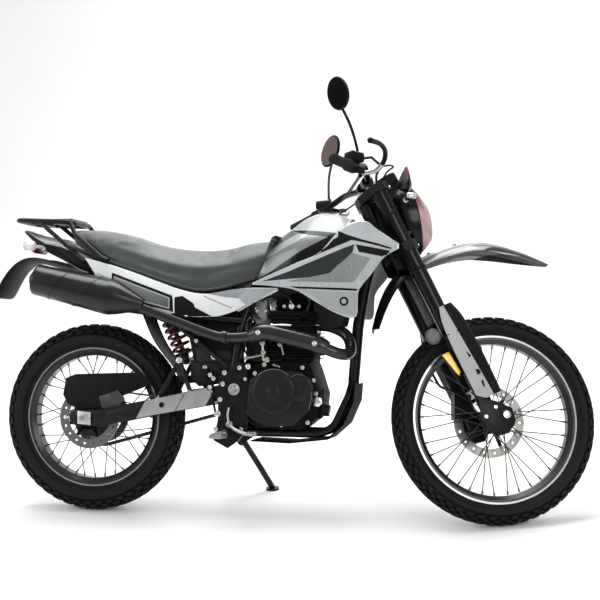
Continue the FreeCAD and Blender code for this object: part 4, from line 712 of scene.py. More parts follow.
BLK, SIL = (.004, .004, .0045), (.34, .34, .345)
RIM_F = wheel_metal("front_rim_finish", FRONT, "steering", [(0, BLK, 0, .26), (280.5 - 6.5, SIL, 1, .22)])
RIM_R = wheel_metal("rear_rim_finish", REAR, "chassis", [(0, BLK, 0, .26), (242.5 - 5.5, SIL, 1, .24)])
HUB_F = wheel_metal("front_hub_finish", FRONT, "steering", [(0, (.006, .006, .0065), .1, .42), (35.5, (.055, .055, .056), 1, .34), (250, (.16, .16, .16), 1, .3)])
HUB_R = wheel_metal("rear_hub_finish", REAR, "chassis", [(0, (.006, .006, .0065), .1, .42), (70, (.055, .055, .056), 1, .34), (212, (.16, .16, .16), 1, .3)])


def disc_steel(name, centre, body, inner):
    """Ground brake disc: fine rings from the pads, dark carrier inside."""
    m = Mat(name)
    x = m.xyz(m.coords(body))
    dx, dz = m.math("SUBTRACT", x["X"], centre.x / 1000), m.math("SUBTRACT", x["Z"], centre.z / 1000)
    r = m.math("SQRT", m.math("ADD", m.math("MULTIPLY", dx, dx), m.math("MULTIPLY", dz, dz)))
    c = m.node("CombineXYZ")
    m.link(r, c.inputs[0])
    n = m.noise(1400, 3, .6, c.outputs[0])
    m.link(m.mix(m.span(r, inner / 1000 - .0002, inner / 1000 + .0002, 0, 1), (.008, .008, .009), m.ramp(n, [(.3, (.14, .135, .125)), (.7, (.27, .265, .25))])), m.b.inputs["Base Color"])
    m.link(m.span(n, .3, .7, .2, .36), m.b.inputs["Roughness"])
    m.set(Metallic=1.0)
    m.bump(n, .12, .0002, .0006)
    return m.m


DISC_F = disc_steel("front_disc_finish", FRONT, "steering", 90)
DISC_R = disc_steel("rear_disc_finish", REAR, "chassis", 74)

# ------------------------------------------------------------------ tank
tank_rows = [(-70, 950, 806, 52, 84, 74, 872, .46), (-20, 984, 790, 72, 110, 88, 876, .32), (50, 1018, 782, 88, 136, 104, 884, .1), (120, 1036, 778, 96, 146, 114, 892, 0), (176, 1028, 800, 94, 144, 112, 906, 0), (212, 1013, 850, 84, 126, 100, 926, 0)]
tank_b = Build()
tank_b.grid(body_loft(tank_rows, 56, 7, (4, 10)), 0, True)
tank_tree = tank_b.tree()
TANK_SILVER = plain("tank_paint", (.27, .285, .29), .40, .1, .2, .05, 6, 2600, .03, .05, .0006, spec=.25)
tank_b.object("tank_shell", "chassis", TANK_SILVER, 50, replaces="fuel_tank", weld=.02)

film("tank_lower_paint", [(156, 945), (216, 950), (216, 860), (190, 800), (60, 792), (-30, 800), (-90, 812), (-77, 818), (-36, 838), (11, 867), (69, 901)], tank_tree, BLACK_GLOSS, .30)
film("tank_stripe", [(16, 972), (97, 967), (155, 961), (218, 954), (218, 944), (156, 945), (86, 953), (60, 959)], tank_tree, BLACK_GLOSS, .55)
film("knee_panel", [(-44, 946), (16, 971), (60, 959), (86, 953), (156, 945), (69, 901), (11, 867), (-36, 838), (-77, 816), (-92, 814), (-74, 872)], tank_tree, MID_GREY, .35)
film("knee_dark_corner", [(-45, 947), (16, 971), (39, 957), (-40, 916), (-58, 905)], tank_tree, KNEE_GREY, .6)
film("knee_streak", [(-60, 901), (-40, 916), (39, 956), (60, 958), (84, 953), (51, 933), (34, 924), (-4, 907), (-36, 890), (-69, 878)], tank_tree, LIGHT_GREY, .75)

# ------------------------------------------------------------------ shrouds beside the tank
shroud_rows = [
    [(-100, -141, 792), (-100, -142, 790), (-100, -142, 788), (-100, -142, 786)],
    [(-30, -148, 824), (-30, -150, 809), (-30, -151, 795), (-30, -151, 781)],
    [(50, -152, 858), (50, -158, 832), (50, -162, 800), (52, -163, 767)],
    [(125, -156, 890), (125, -166, 842), (125, -174, 786), (125, -172, 727)],
    [(196, -143, 968), (196, -168, 880), (196, -180, 790), (196, -176, 690)],
    [(250, -143, 996), (251, -170, 890), (254, -184, 790), (256, -180, 680)],
    [(286, -146, 994), (282, -170, 906), (274, -182, 830), (266, -182, 764)],
    [(318, -150, 970), (318, -168, 922), (315, -178, 870), (310, -180, 824)],
    [(360, -160, 942), (358, -168, 924), (354, -173, 900), (350, -176, 876)],
    [(395, -170, 919), (395, -171, 914), (395, -172, 909), (395, -172, 904)]]
sf, sb = panel(shroud_rows, 3, 90, 34)
shroud_b = add_panel(Build(), sf, sb)
shroud_tree = shroud_b.tree()
shroud_b.mirrored().object("tank_shroud_skins", "chassis", SILVER, 40, replaces="tank_shrouds")
film("shroud_stripe", [(190, 964), (223, 950), (277, 933), (330, 919), (370, 906), (370, 901), (330, 912), (277, 925), (233, 934), (190, 942)], shroud_tree, BLACK_GLOSS, .5)
film("shroud_upper_black", [(194, 946), (231, 936), (236, 933), (228, 929), (174, 907), (123, 886), (103, 878), (84, 871), (113, 886), (136, 898), (156, 914), (174, 935)], shroud_tree, BLACK_GLOSS, .35)
film("shroud_graphite", [(-64, 797), (18, 804), (94, 809), (168, 823), (194, 848), (218, 868), (243, 892), (247, 918), (217, 908), (105, 862), (31, 831)], shroud_tree, GRAPHITE, .5)
film("shroud_tab", [(252, 918), (366, 896), (354, 875), (264, 893)], shroud_tree, BLACK_GLOSS, .5)


def brushed_patch():
    """Grey patch printed with upright brush strokes that grow denser towards the front."""
    m = Mat("brush_print")
    co = m.coords("chassis")
    n = m.noise(30, 3, .5, m.scaled(co, (11, 11, .5)))
    x = m.xyz(co)
    dens = m.span(x["X"], .06, .26, .05, .75)
    k = m.math("MULTIPLY", m.span(n, .36, .66, 0, 1), dens)
    m.link(m.mix(k, (.150, .164, .155), (.25, .265, .25)), m.b.inputs["Base Color"])
    m.set(Roughness=.34, Metallic=.15, Coat_Weight=.4)
    m.bump(m.noise(1500, 2), .03, .0004)
    return m.m


BRUSH = brushed_patch()
film("shroud_brush_patch", [(19, 797), (60, 803), (94, 808), (168, 822), (194, 847), (218, 867), (242, 889), (304, 872), (249, 793), (170, 793)], shroud_tree, BRUSH, .4)
film("shroud_groove", [(30, 780), (219, 774), (268, 771), (267, 765), (219, 767), (57, 773)], shroud_tree, BLACK_SATIN, .45)
film("shroud_lobe", [(66, 768), (219, 760), (264, 759), (261, 742), (254, 684), (203, 692), (180, 700), (152, 714), (131, 734), (108, 751)], shroud_tree, LIGHT_GREY, .4)
ring_o = [(218 + 15 * cos(a * pi / 10), 731 + 15 * sin(a * pi / 10)) for a in range(20)]
ring_i = [(218 + 8.5 * cos(a * pi / 10), 731 + 8.5 * sin(a * pi / 10)) for a in range(20)]
film("lobe_ring", ring_o, shroud_tree, BLACK_GLOSS, .9, 6)
film("lobe_ring_middle", ring_i, shroud_tree, LIGHT_GREY, 1.3, 6)

# ------------------------------------------------------------------ side panels
side_rows = [
    [(-701, -128, 878), (-656, -138, 818), (-611, -144, 758), (-566, -144, 698)],
    [(-622, -136, 858), (-584, -146, 806), (-540, -150, 750), (-500, -148, 694)],
    [(-522, -138, 828), (-494, -149, 784), (-462, -152, 736), (-430, -148, 686)],
    [(-430, -137, 795), (-404, -147, 758), (-378, -150, 718), (-350, -146, 679)],
    [(-340, -134, 766), (-318, -142, 738), (-294, -145, 708), (-270, -142, 677)],
    [(-270, -130, 755), (-254, -136, 732), (-234, -139, 706), (-212, -138, 681)],
    [(-200, -126, 764), (-190, -130, 742), (-178, -133, 720), (-166, -133, 696)],
    [(-120, -120, 776), (-116, -123, 758), (-112, -125, 740), (-108, -125, 722)],
    [(-20, -116, 776), (-19, -117, 773), (-18, -117, 770), (-17, -117, 767)]]
pf, pb = panel(side_rows, 3, 90, 26)
side_b = add_panel(Build(), pf, pb)
side_tree = side_b.tree()
side_b.mirrored().object("side_panel_skins", "chassis", WHITE, 40, replaces="side_panels")


def graded(name, lo, hi, a, b, axis="Z", rough=.34):
    """Area that fades from one tone at a to another at b along the axis, height by default: darker towards the bottom,
    lighter towards the top.
    """
    m = Mat(name)
    x = m.xyz(m.coords("chassis"))
    m.link(m.mix(m.span(m.math("ADD", x[axis], m.math("MULTIPLY", m.noise(20, 3), .01)), a / 1000, b / 1000, 0, 1), lo, hi), m.b.inputs["Base Color"])
    m.link(m.span(m.noise(30, 4), .3, .7, rough - .05, rough + .05), m.b.inputs["Roughness"])
    m.set(Coat_Weight=.4, Coat_Roughness=.08)
    m.bump(m.noise(1700, 2), .03, .0004)
    return m.m


BOX_FADE = graded("box_fade", (.030, .034, .036), (.17, .18, .185), 700, 810)
film("side_box", [(-594, 826), (-378, 748), (-374, 734), (-372, 692), (-388, 691), (-562, 706), (-592, 744)], side_tree, BLACK_GLOSS, .4)
film("side_box_line", [(-586, 814), (-385, 741), (-385, 703), (-583, 752)], side_tree, LIGHT_GREY, .6)
film("side_box_fill", [(-583, 808), (-389, 738), (-389, 708), (-580, 756)], side_tree, BOX_FADE, .8)
film("side_low_stripe", [(-588, 739), (-376, 695), (-388, 688), (-562, 705)], side_tree, LIGHT_GREY, .6)
film("side_black", [(-368, 742), (-342, 747), (-302, 722), (-298, 709), (-238, 679), (-328, 678), (-470, 682), (-556, 692), (-562, 702), (-387, 686), (-367, 690)], side_tree, BLACK_GLOSS, .45)
film("side_rear_grey", [(-664, 832), (-600, 806), (-598, 748), (-640, 788)], side_tree, LIGHT_GREY, .4)
WEDGE = graded("wedge_fade", (.13, .135, .145), (.27, .28, .29), 735, 780)
film("side_wedge", [(-255, 755), (-196, 766), (-130, 776), (-126, 773), (-152, 741), (-198, 745)], side_tree, WEDGE, .4)
film("side_wedge_light", [(-124, 774), (-22, 773), (-148, 695), (-158, 701), (-126, 720), (-151, 740)], side_tree, LIGHT_GREY, .4)
film("side_line", [(-272, 749), (-171, 708), (-170, 706), (-271, 747)], side_tree, BLACK_SATIN, .5, 8)

# ------------------------------------------------------------------ tail
tail_rows = [(-655, 874, 812, 92, 108, 100, 842, 0), (-740, 912, 838, 84, 106, 96, 876, 0), (-800, 946, 870, 74, 94, 80, 906, 0), (-880, 960, 908, 62, 78, 60, 932, 0), (-912, 968, 930, 56, 70, 54, 948, 0), (-952, 980, 966, 42, 52, 46, 973, 0)]
tail_b = Build()
tail_b.grid(body_loft(tail_rows, 44, 6, (3, 5)), 0, True)
tail_tree = tail_b.tree()


def tail_paint():
    """Silver along the top of the tail, black plastic below a straight line that falls towards the seat."""
    m = Mat("tail_paint")
    x = m.xyz(m.coords("chassis"))
    top = m.span(m.math("ADD", x["Z"], m.math("MULTIPLY", x["X"], .52)), .480, .481, 0, 1)
    silver = m.ramp(m.noise(6, 4), [(.3, (.38, .395, .405)), (.7, (.42, .435, .445))])
    m.link(m.mix(top, (.0030, .0030, .0034), silver), m.b.inputs["Base Color"])
    m.link(m.math("MULTIPLY", top, .5), m.b.inputs["Coat Weight"])
    m.link(m.math("ADD", m.math("MULTIPLY", top, .35), .12), m.b.inputs["Specular IOR Level"])
    m.link(m.span(m.noise(26, 5), .3, .7, .26, .36), m.b.inputs["Roughness"])
    m.bump(m.noise(1700, 2), .04, .0004, .0006)
    return m.m


tail_b.object("tail_cowl", "chassis", tail_paint(), 50, replaces="tail_fairing", weld=.02)
film("tail_dark_side", [(-690, 872), (-740, 893), (-800, 916), (-860, 930), (-860, 922), (-800, 884), (-740, 850), (-680, 834)], tail_tree, BLACK_SATIN, .4)


def tail_lens():
    """Ribbed red lens: upright bands of darker and lighter red with a matching bump."""
    m = Mat("tail_lens_red")
    w = m.node("TexWave", bands_direction="Y")
    w.inputs["Scale"].default_value, w.inputs["Distortion"].default_value = 120, 0
    m.link(m.coords("chassis"), w.inputs[0])
    m.link(m.ramp(w.outputs[0], [(.2, (.10, .0015, .002)), (.8, (.20, .004, .005))]), m.b.inputs["Base Color"])
    m.set(Roughness=.22, Coat_Weight=.3)
    m.b.inputs["Specular IOR Level"].default_value = .3
    m.bump(w.outputs[0], .12, .0005)
    return m.m


TAIL_RED = tail_lens()

# ------------------------------------------------------------------ seat
def seat_vinyl():
    """Satin vinyl with a close leather grain, greyer on the sitting panel and darker on the sides: painted light, the
    top painted as lit from above and the sides as painted shade.
    """
    m = Mat("seat_vinyl")
    painted_light_top = m.node("Attribute", attribute_name="painted_light_top").outputs["Fac"]
    vor = m.node("TexVoronoi", feature="F1")
    vor.inputs["Scale"].default_value = 620
    m.link(m.co, vor.inputs["Vector"])
    drift = m.noise(9, 4, .6)
    # top is the lighter colour for the painted light on the sitting panel, low the darker colour for the painted shade
    # on the sides
    top = m.ramp(drift, [(.3, (.070, .080, .079)), (.7, (.090, .101, .099))])
    low = m.ramp(drift, [(.3, (.034, .039, .040)), (.7, (.045, .051, .052))])
    m.link(m.mix(painted_light_top, low, top), m.b.inputs["Base Color"])
    m.link(m.span(m.noise(45, 4), .3, .7, .40, .52), m.b.inputs["Roughness"])
    m.set(Sheen_Weight=.08, Sheen_Roughness=.4)
    m.b.inputs["Specular IOR Level"].default_value = .38
    h = m.math("ADD", vor.outputs["Distance"], m.math("MULTIPLY", m.noise(170, 3), .5))
    m.bump(h, .28, .0005)
    return m.m


VINYL = seat_vinyl()
seat_rows = [(-752, 978, 930, 58, 84, 80, 950, -.25), (-668, 972, 884, 80, 112, 104, 922, -.1), (-567, 953, 846, 92, 126, 122, 892, 0), (-475, 924, 816, 94, 130, 127, 864, 0), (-391, 906, 788, 90, 128, 127, 842, 0), (-301, 899, 765, 80, 122, 119, 826, 0), (-218, 905, 771, 68, 108, 108, 832, .08), (-150, 927, 786, 58, 96, 95, 850, .3), (-77, 944, 806, 52, 84, 80, 872, .46)]


def seat_shape(row):
    x, zt, zb, w1, wm, wb, zm = row[:7]
    return [(0, zt), (w1 * .62, zt - (zt - zm) * .05), (w1, zt - (zt - zm) * .24), (wm * .975, zm + (zt - zm) * .30), (wm, zm - (zm - zb) * .16), (wm * .98 + (wb - wm) * .5, zb + (zm - zb) * .30), (wb * .97, zb + (zm - zb) * .06), (wb * .80, zb), (0, zb)]


SEAT_BLACK = plain("seat_base_black", (.010, .010, .010), .5, 0, 0, .15, 14, 900, .15)
sr = body_loft(seat_rows, 84, 6, (10, 6), seat_shape)
seat_b = Build()
seat_b.grid(sr, 0, True)
seat = seat_b.object("seat_cushion", "chassis", VINYL, 0, replaces="seat", weld=.02)


def swell(o, pressure, cap, pinned, frames=20):
    """Cloth under a little air pressure; its result is applied, with no point moved further than cap."""
    me = o.data
    before = [v.co.copy() for v in me.vertices]
    grp = o.vertex_groups.new(name="pin")
    for v in me.vertices:
        w = pinned(v.co)
        if w > 0:
            grp.add([v.index], w, "REPLACE")
    mod = o.modifiers.new("swell", "CLOTH")
    s = mod.settings
    s.use_pressure, s.uniform_pressure_force = True, pressure
    s.effector_weights.gravity = 0
    s.vertex_group_mass = "pin"
    s.quality = 6
    s.tension_stiffness = s.compression_stiffness = 18
    s.shear_stiffness, s.bending_stiffness = 8, .6
    mod.collision_settings.use_collision = False
    start, end = scene.frame_start, scene.frame_end
    mod.point_cache.frame_start, mod.point_cache.frame_end = 1, frames
    for f in range(1, frames + 1):
        scene.frame_set(f)
    dg = bpy.context.evaluated_depsgraph_get()
    got = [v.co.copy() for v in o.evaluated_get(dg).data.vertices]
    o.modifiers.remove(mod)
    scene.frame_set(1)
    for v, a, g in zip(me.vertices, before, got):
        d = g - a
        v.co = a + (d if d.length < cap else d.normalized() * cap)
    o.vertex_groups.remove(grp)


back = PLACE["chassis"].inverted()


def hold(co):
    p = back @ co
    row = min(seat_rows, key=lambda r: abs(r[0] - p.x))
    low = values(seat_rows, [min(1, max(0, (p.x + 752) / 675))])[0]
    k = (p.z - low[2]) / max(1, low[1] - low[2])
    return 1.0 if k < .16 else (.6 if k < .24 else 0.0)


swell(seat, 3.2, .009, hold)
# painted light on the seat: 1 above the line where the top light falls away, 0 on the shaded sides below it
painted_light_top = seat.data.attributes.new("painted_light_top", "FLOAT", "POINT")
# crease is where the painted top light gives way to the painted shade of the sides, not a seam in the cover
crease = [(-760, 968), (-640, 958), (-521, 930), (-493, 912), (-431, 874), (-359, 852), (-258, 848), (-151, 862), (-60, 900)]
for v in seat.data.vertices:
    p = back @ v.co
    for (x0, z0), (x1, z1) in zip(crease, crease[1:]):
        if x0 <= p.x <= x1 or (x0 == crease[0][0] and p.x < x0) or (x1 == crease[-1][0] and p.x > x1):
            lim = z0 + (z1 - z0) * (p.x - x0) / (x1 - x0)
            break
    painted_light_top.data[v.index].value = min(1, max(0, (p.z - lim + 5) / 10))
sub = seat.modifiers.new("sub", "SUBSURF")
sub.levels = sub.render_levels = 1


def skirt(rows, pick, off):
    pts = []
    for r in rows:
        loop = ring(r, 6, seat_shape)
        pts.append(pick(loop, r) + off)
    return pts


dense = values(seat_rows, [i / 30 for i in range(31)])
trim = Build()
low_line = []
for r in dense:
    x, zt, zb, w1, wm, wb, zm, lean = r
    low_line.append(Vector((x + lean * (zb - zm), -(wb * .97 + 1), zb + 3)))
trim.tube(low_line, 6.5, 10, 1, flat=1.0)
front = [Vector((-77 + .46 * (p.z - 872) + 4.5, p.y * 1.012, p.z * 1.0)) for p in ring(seat_rows[-1], 6, seat_shape)]
trim.mirrored()
trim.tube([Vector((-77 + .46 * (p.z - 872) + 3.5, p.y * 1.01, p.z + (.8 if p.z > 880 else 0))) for p in ring(seat_rows[-1][:7] + (0,), 6, seat_shape)[::2]], 3.6, 8, 2, closed=True)
trim.object("seat_edge_trim", "chassis", SEAT_BLACK, 60)

# ------------------------------------------------------------------ finishes laid out along the fork
def fork_zone(name, stops, low=None, accents=None):
    """Painted moulding whose colour changes with the distance ahead of the fork leg; low gives the height below which it is black."""
    m = Mat(name)
    x = m.xyz(m.coords("steering"))
    s = m.math("ADD", m.math("MULTIPLY", x["X"], .891), m.math("ADD", m.math("MULTIPLY", x["Z"], .454), -.742185))
    col = stops[0][1]
    base = m.ramp(m.noise(9, 4), [(.3, [c * .94 for c in col]), (.7, [c * 1.05 for c in col])])
    s = m.math("ADD", s, m.math("MULTIPLY", x["Z"], .075)) if low else s
    for lim, c in stops[1:]:
        base = m.mix(m.span(s, lim / 1000 - .0004, lim / 1000 + .0004, 0, 1), base, m.ramp(m.noise(9, 4), [(.3, [q * .94 for q in c]), (.7, [q * 1.05 for q in c])]))
    if low:
        edge = m.math("ADD", x["Z"], m.math("MULTIPLY", s, .25))
        base = m.mix(m.span(edge, low / 1000 - .0004, low / 1000 + .0004, 0, 1), (.005, .005, .0055), base)
    m.link(base, m.b.inputs["Base Color"])
    m.link(m.span(m.noise(36, 5), .3, .7, .34, .46), m.b.inputs["Roughness"])
    m.b.inputs["Specular IOR Level"].default_value = .16
    m.bump(m.noise(1500, 2), .08, .0004, .0008)
    return m.m


BLK3, GRY3, WHT3 = (.003, .003, .0035), (.33, .34, .345), (.56, .57, .58)
GUARD_PAINT = fork_zone("guard_paint", [(0, GRY3), (62, BLK3)], 408)


def fender_paint():
    """Front fender: pale top, grey crease along the side, silver lower edge, black round the fork and at the tip."""
    m = Mat("fender_paint")
    x = m.xyz(m.coords("steering"))
    s = m.math("ADD", m.math("MULTIPLY", x["X"], .891), m.math("ADD", m.math("MULTIPLY", x["Z"], .454), -.742185))
    y = m.math("ABSOLUTE", x["Y"])
    base = m.ramp(m.noise(5, 4), [(.3, (.50, .515, .525)), (.7, (.56, .575, .585))])
    base = m.mix(m.span(m.math("SUBTRACT", y, m.math("MULTIPLY", x["X"], -.035)), .057, .0585, 0, 1), base, (.105, .113, .120))
    base = m.mix(m.span(m.math("SUBTRACT", y, m.math("MULTIPLY", x["X"], -.035)), .084, .0852, 0, 1), base, (.30, .31, .32))
    tip = m.math("ADD", x["X"], m.math("MULTIPLY", y, -.6))
    low = m.math("ADD", y, m.math("MULTIPLY", x["X"], .4))
    base = m.mix(m.math("MULTIPLY", m.span(low, .332, .333, 0, 1), m.span(x["X"], .640, .641, 0, 1)), base, (.004, .0035, .0035))
    base = m.mix(m.span(tip, .830, .8315, 0, 1), base, (.004, .0035, .0035))
    pale = m.span(s, .028, .0285, 0, 1)
    base = m.mix(pale, (.0022, .0022, .0026), base)
    m.link(m.math("MULTIPLY", pale, .35), m.b.inputs["Coat Weight"])
    m.link(m.math("ADD", m.math("MULTIPLY", pale, .35), .1), m.b.inputs["Specular IOR Level"])
    m.link(base, m.b.inputs["Base Color"])
    m.link(m.span(m.noise(30, 5), .3, .7, .26, .36), m.b.inputs["Roughness"])
    m.bump(m.noise(1700, 2), .04, .0004, .0006)
    return m.m


FENDER = fender_paint()
ff_rows = [(283, 632, 46, 12, 72), (300, 700, 54, 18, 68), (326, 768, 60, 24, 60), (368, 828, 62, 26, 48), (440, 882, 66, 32, 34), (530, 926, 72, 38, 22), (622, 950, 76, 40, 6), (710, 944, 72, 34, -10), (800, 922, 56, 22, -17), (868, 899, 32, 8, -19), (896, 889, 14, 2, -20)]


def arch(rows, steps, thick, cross=26, crease=0, group="steering"):
    """A long arched sheet with a rolled edge; crease raises a soft ridge along its middle."""
    dense = values(rows, [i / steps for i in range(steps + 1)])
    top, low = [], []
    ts = [-1, -.985, -.95] + [-.9 + 1.8 * i / cross for i in range(cross + 1)] + [.95, .985, 1]
    for x, z, hw, drop, ang in dense:
        n = Vector((-sin(rad(ang)), 0, cos(rad(ang))))
        a, b = [], []
        for t in ts:
            d = drop * abs(t) ** 2.6 - crease * math.exp(-(t / .16) ** 2) + crease * .5 * math.exp(-((abs(t) - .62) / .07) ** 2)
            p = Vector((x, hw * t * (1 - .04 * abs(t)), z)) - n * d
            e = max(0, (abs(t) - .95) / .05)
            a.append(p - n * (e * thick * .5))
            b.append(p - n * (thick - e * thick * .3))
        top.append(a)
        low.append(b)
    bd = Build()
    bd.grid(top, 0)
    bd.grid([list(reversed(r)) for r in low], 0)
    n, m = len(top), len(top[0])
    rt = [top[0][k] for k in range(m)] + [top[i][m - 1] for i in range(1, n)] + [top[n - 1][k] for k in range(m - 2, -1, -1)] + [top[i][0] for i in range(n - 2, 0, -1)]
    rl = [low[0][k] for k in range(m)] + [low[i][m - 1] for i in range(1, n)] + [low[n - 1][k] for k in range(m - 2, -1, -1)] + [low[i][0] for i in range(n - 2, 0, -1)]
    bd.grid([rl, rt], 0, True)
    return bd


ffb = arch(ff_rows, 90, 3.4, 30, 3)
inner_ = []
for z_ in range(868, 657, -10):
    c_ = axis_at(z_)
    d_ = leg_at(z_, 1)
    w_ = 74 - 4 * (868 - z_) / 160
    sx_ = d_.x - 16
    inner_.append([(sx_ + 18, -w_, z_), (sx_ + 4, -w_ * .6, z_), (sx_, 0, z_), (sx_ + 4, w_ * .6, z_), (sx_ + 18, w_, z_), (sx_ + 15, w_, z_), (sx_ + 1, w_ * .6, z_), (sx_ - 3, 0, z_), (sx_ + 1, -w_ * .6, z_), (sx_ + 15, -w_, z_)])
for s_ in (-1, 1):
    ffb.rod(axis_at(905) - UP * 15 + FWD * 6 + Vector((0, s_ * 38, 0)), (axis_at(905).x + 22, s_ * 38, 820), 7)
    for xx, zz in ((470, 900), (560, 936)):
        ffb.bolt((xx, s_ * 24, zz), (-.3, 0, 1), 5, 3)
ffb.object("front_fender_skin", "steering", FENDER, 42, replaces="front_fender")

# ------------------------------------------------------------------ fork guards
GUARD_ROWS = [(694, 46, 6, 36), (646, 60, 20, 38), (560, 66, 26, 38), (470, 66, 26, 38), (400, 64, 26, 38)]
gb = Build()
dense = values(GUARD_ROWS, [i / 30 for i in range(31)])
face, back_ = [], []
for z, wf, wb, out in dense:
    c = leg_at(z, -1)
    o = Vector((0, -1, 0))
    line = smooth_line([c - FWD * wb + o * out, c - FWD * (wb * .1) + o * (out + 2), c + FWD * (wf * .55) + o * (out - 4), c + FWD * wf + o * (out - 20), c + FWD * (wf + 1) + o * 2, c + FWD * (wf - 6) - o * 22], 5)
    inner = []
    for i, p in enumerate(line):
        a, b = line[max(0, i - 1)], line[min(len(line) - 1, i + 1)]
        t = (b - a).normalized()
        nn = t.cross(Vector((0, 0, 1)))
        nn = nn if (c - p).dot(nn) > 0 else -nn
        inner.append(p + nn.normalized() * 3.2)
    face.append(line)
    back_.append(inner)
add_panel(gb, face, back_)
gb.extrude([(608, 402), (664, 392), (716, 372), (728, 330), (706, 290), (660, 276), (612, 338)], -134, -138, 0, 1)
gb.lathe([(0, 17), (5, 17), (8, 14), (8, 6), (3, 5)], (FRONT.x, -137, FRONT.z), (0, -1, 0), 30)
for z_, s__ in ((660, 20), (430, -14), (430, 40)):
    c = leg_at(z_, -1) + FWD * s__ + Vector((0, -38, 0))
    gb.bolt(c, (0, -1, 0), 5, 3)
gb.mirrored()
gb.object("fork_guard_skins", "steering", GUARD_PAINT, 40, replaces="fork_guards")


def fork_film(name, pts, mat, lift=1.1, y=-141):
    """A flat decal on the outer side of both fork guards; pts are (ahead of the leg, along z)."""
    outline = [((leg_at(z, -1) + FWD * s).x, z + FWD.z * s) for s, z in pts]
    b = Build()
    b.extrude(outline, y + lift, y - .2, 0, .3)
    b.mirrored()
    return b.object(name, "steering", mat, 30)


fork_film("guard_mark_a", [(-16, 560), (4, 560), (18, 528), (10, 526), (0, 548), (-14, 552)], BLACK_GLOSS)
fork_film("guard_mark_b", [(-14, 520), (-6, 524), (6, 488), (22, 484), (22, 472), (0, 468), (-4, 480)], BLACK_GLOSS)
fork_film("guard_mark_c", [(0, 448), (18, 452), (14, 432), (4, 430), (6, 440)], BLACK_GLOSS)
fork_film("guard_band", [(-24, 612), (30, 612), (30, 609), (-24, 609)], BLACK_GLOSS)

REFL = plain("amber_reflector", (.85, .46, .01), .16, 0, .6, .08, 12, 260, .35, .03)
rb = Build()
c_ = leg_at(520, -1)
rb.extrude([((leg_at(z, -1) + FWD * s).x, z + FWD.z * s) for s, z in ((-62, 566), (-36, 566), (-30, 500), (-40, 492), (-44, 500))], -118, -112, 0, 1.2)
rb.object("side_reflector", "steering", REFL, 30)
rb = Build()
rb.extrude([((leg_at(z, -1) + FWD * s).x, z + FWD.z * s) for s, z in ((-64, 568), (-18, 568), (-14, 490), (-42, 486))], -111.5, -108, 0, 1)
rb.object("reflector_plate", "steering", BLACK_PLASTIC, 30)
rb = Build()
rb.lathe([(0, 25), (3, 27), (7, 26), (8, 22), (9.5, 20), (10, 0.6)], (457, -124, 596), (0, -1, 0), 36)
rb.rod((476, -112, 604), (462, -126, 598), 8)
rb.object("leg_caps", "steering", plain("leg_cap_grey", (.06, .068, .072), .4, .3, 0, .12, 14, 900, .12, .06, .0008), 30)

# rubber boots and bands on the upper legs
bt = Build()
for z0, n_, r0, r1 in ((612, 6, 27.6, 22.5),):
    prof = []
    for i in range(n_):
        prof += [(i * 10, r1 + 1), (i * 10 + 2.6, r0), (i * 10 + 5.2, r0), (i * 10 + 7.8, r1 + 1)]
    for s_ in (-1, 1):
        bt.lathe(prof, leg_at(548, s_), UP, 34)
bt.object("fork_boots", "steering", RUBBER, 50)
bt = Build()
for s_ in (-1, 1):
    for z0 in (606, 820, 1000, 1094):
        bt.lathe([(0, 27.2), (1, 28.4), (9, 28.4), (10, 27.2)], leg_at(z0, s_), UP, 34)
    bt.lathe([(0, 22), (1.5, 23), (6, 23), (7, 20), (7, 9), (4, 8)], leg_at(1100, s_), UP, 6)
bt.object("fork_bands", "steering", BLACK_SATIN, 30)

# ------------------------------------------------------------------ headlight
def loop16(x, zc, hw, hh, lean, per=4, grow=0):
    pts = []
    for k in range(16):
        a = 2 * pi * k / 16
        c, s_ = cos(a), sin(a)
        yy = (hw + grow) * math.copysign(abs(c) ** .86, c) * (1 - .16 * max(0, -s_))
        zz = (hh + grow) * math.copysign(abs(s_) ** .86, s_)
        pts.append((x - lean * zz, yy, zc + zz))
    return smooth_line(pts, per, True)


LAMP_IN = Build()
shell_rows = values([(346, 1026, 70, 84, .20), (372, 1018, 88, 112, .20), (418, 1022, 96, 124, .23)], [i / 12 for i in range(13)])
hb = Build()
outer_ = [loop16(*r) for r in shell_rows]
rim_ = [loop16(420, 1022, 95, 123, .23), loop16(421, 1022, 92, 120, .23), loop16(418, 1022, 90, 118, .23), loop16(414, 1022, 89, 117, .23), loop16(380, 1020, 70, 92, .21), loop16(366, 1020, 40, 56, .2)]
capr = [loop16(343, 1026, 60, 74, .2), loop16(342, 1026, 20, 26, .2)]
hb.grid(list(reversed(capr)) + outer_ + rim_, 0, True, True)
cowl_rows = [(1104, 82, 414, 360), (1138, 72, 416, 370), (1164, 54, 412, 380), (1188, 34, 407, 388), (1207, 12, 403, 395)]
cz = values([(z, 0, hw, xf, xb) for z, hw, xf, xb in cowl_rows], [i / 16 for i in range(17)])
cl_rows = []
for z, _, hw, xf, xb in cz:
    half_ = [(xb, -hw * .82), (xb + (xf - xb) * .42, -hw), (xf - (xf - xb) * .2, -hw * .56)]
    loop_ = [(x, y, z) for x, y in half_ + [(xf, 0)] + [(x, -y) for x, y in reversed(half_)]]
    cl_rows.append(smooth_line(loop_, 6, True))
hb.grid(cl_rows, 1, True, True)
for s_ in (-1, 1):
    hb.rod((372, s_ * 66, 985), (leg_at(975, 1).x + 10, s_ * 84, 975), 7)
    hb.rod((368, s_ * 60, 1045), (leg_at(1030, 1).x + 14, s_ * 84, 1030), 7)
    for x_, y_, z_ in ((372, 91, 1068), (388, 92.5, 950), (362, 80, 985)):
        hb.bolt((x_, s_ * y_, z_), (0, s_, 0), 5, 3)


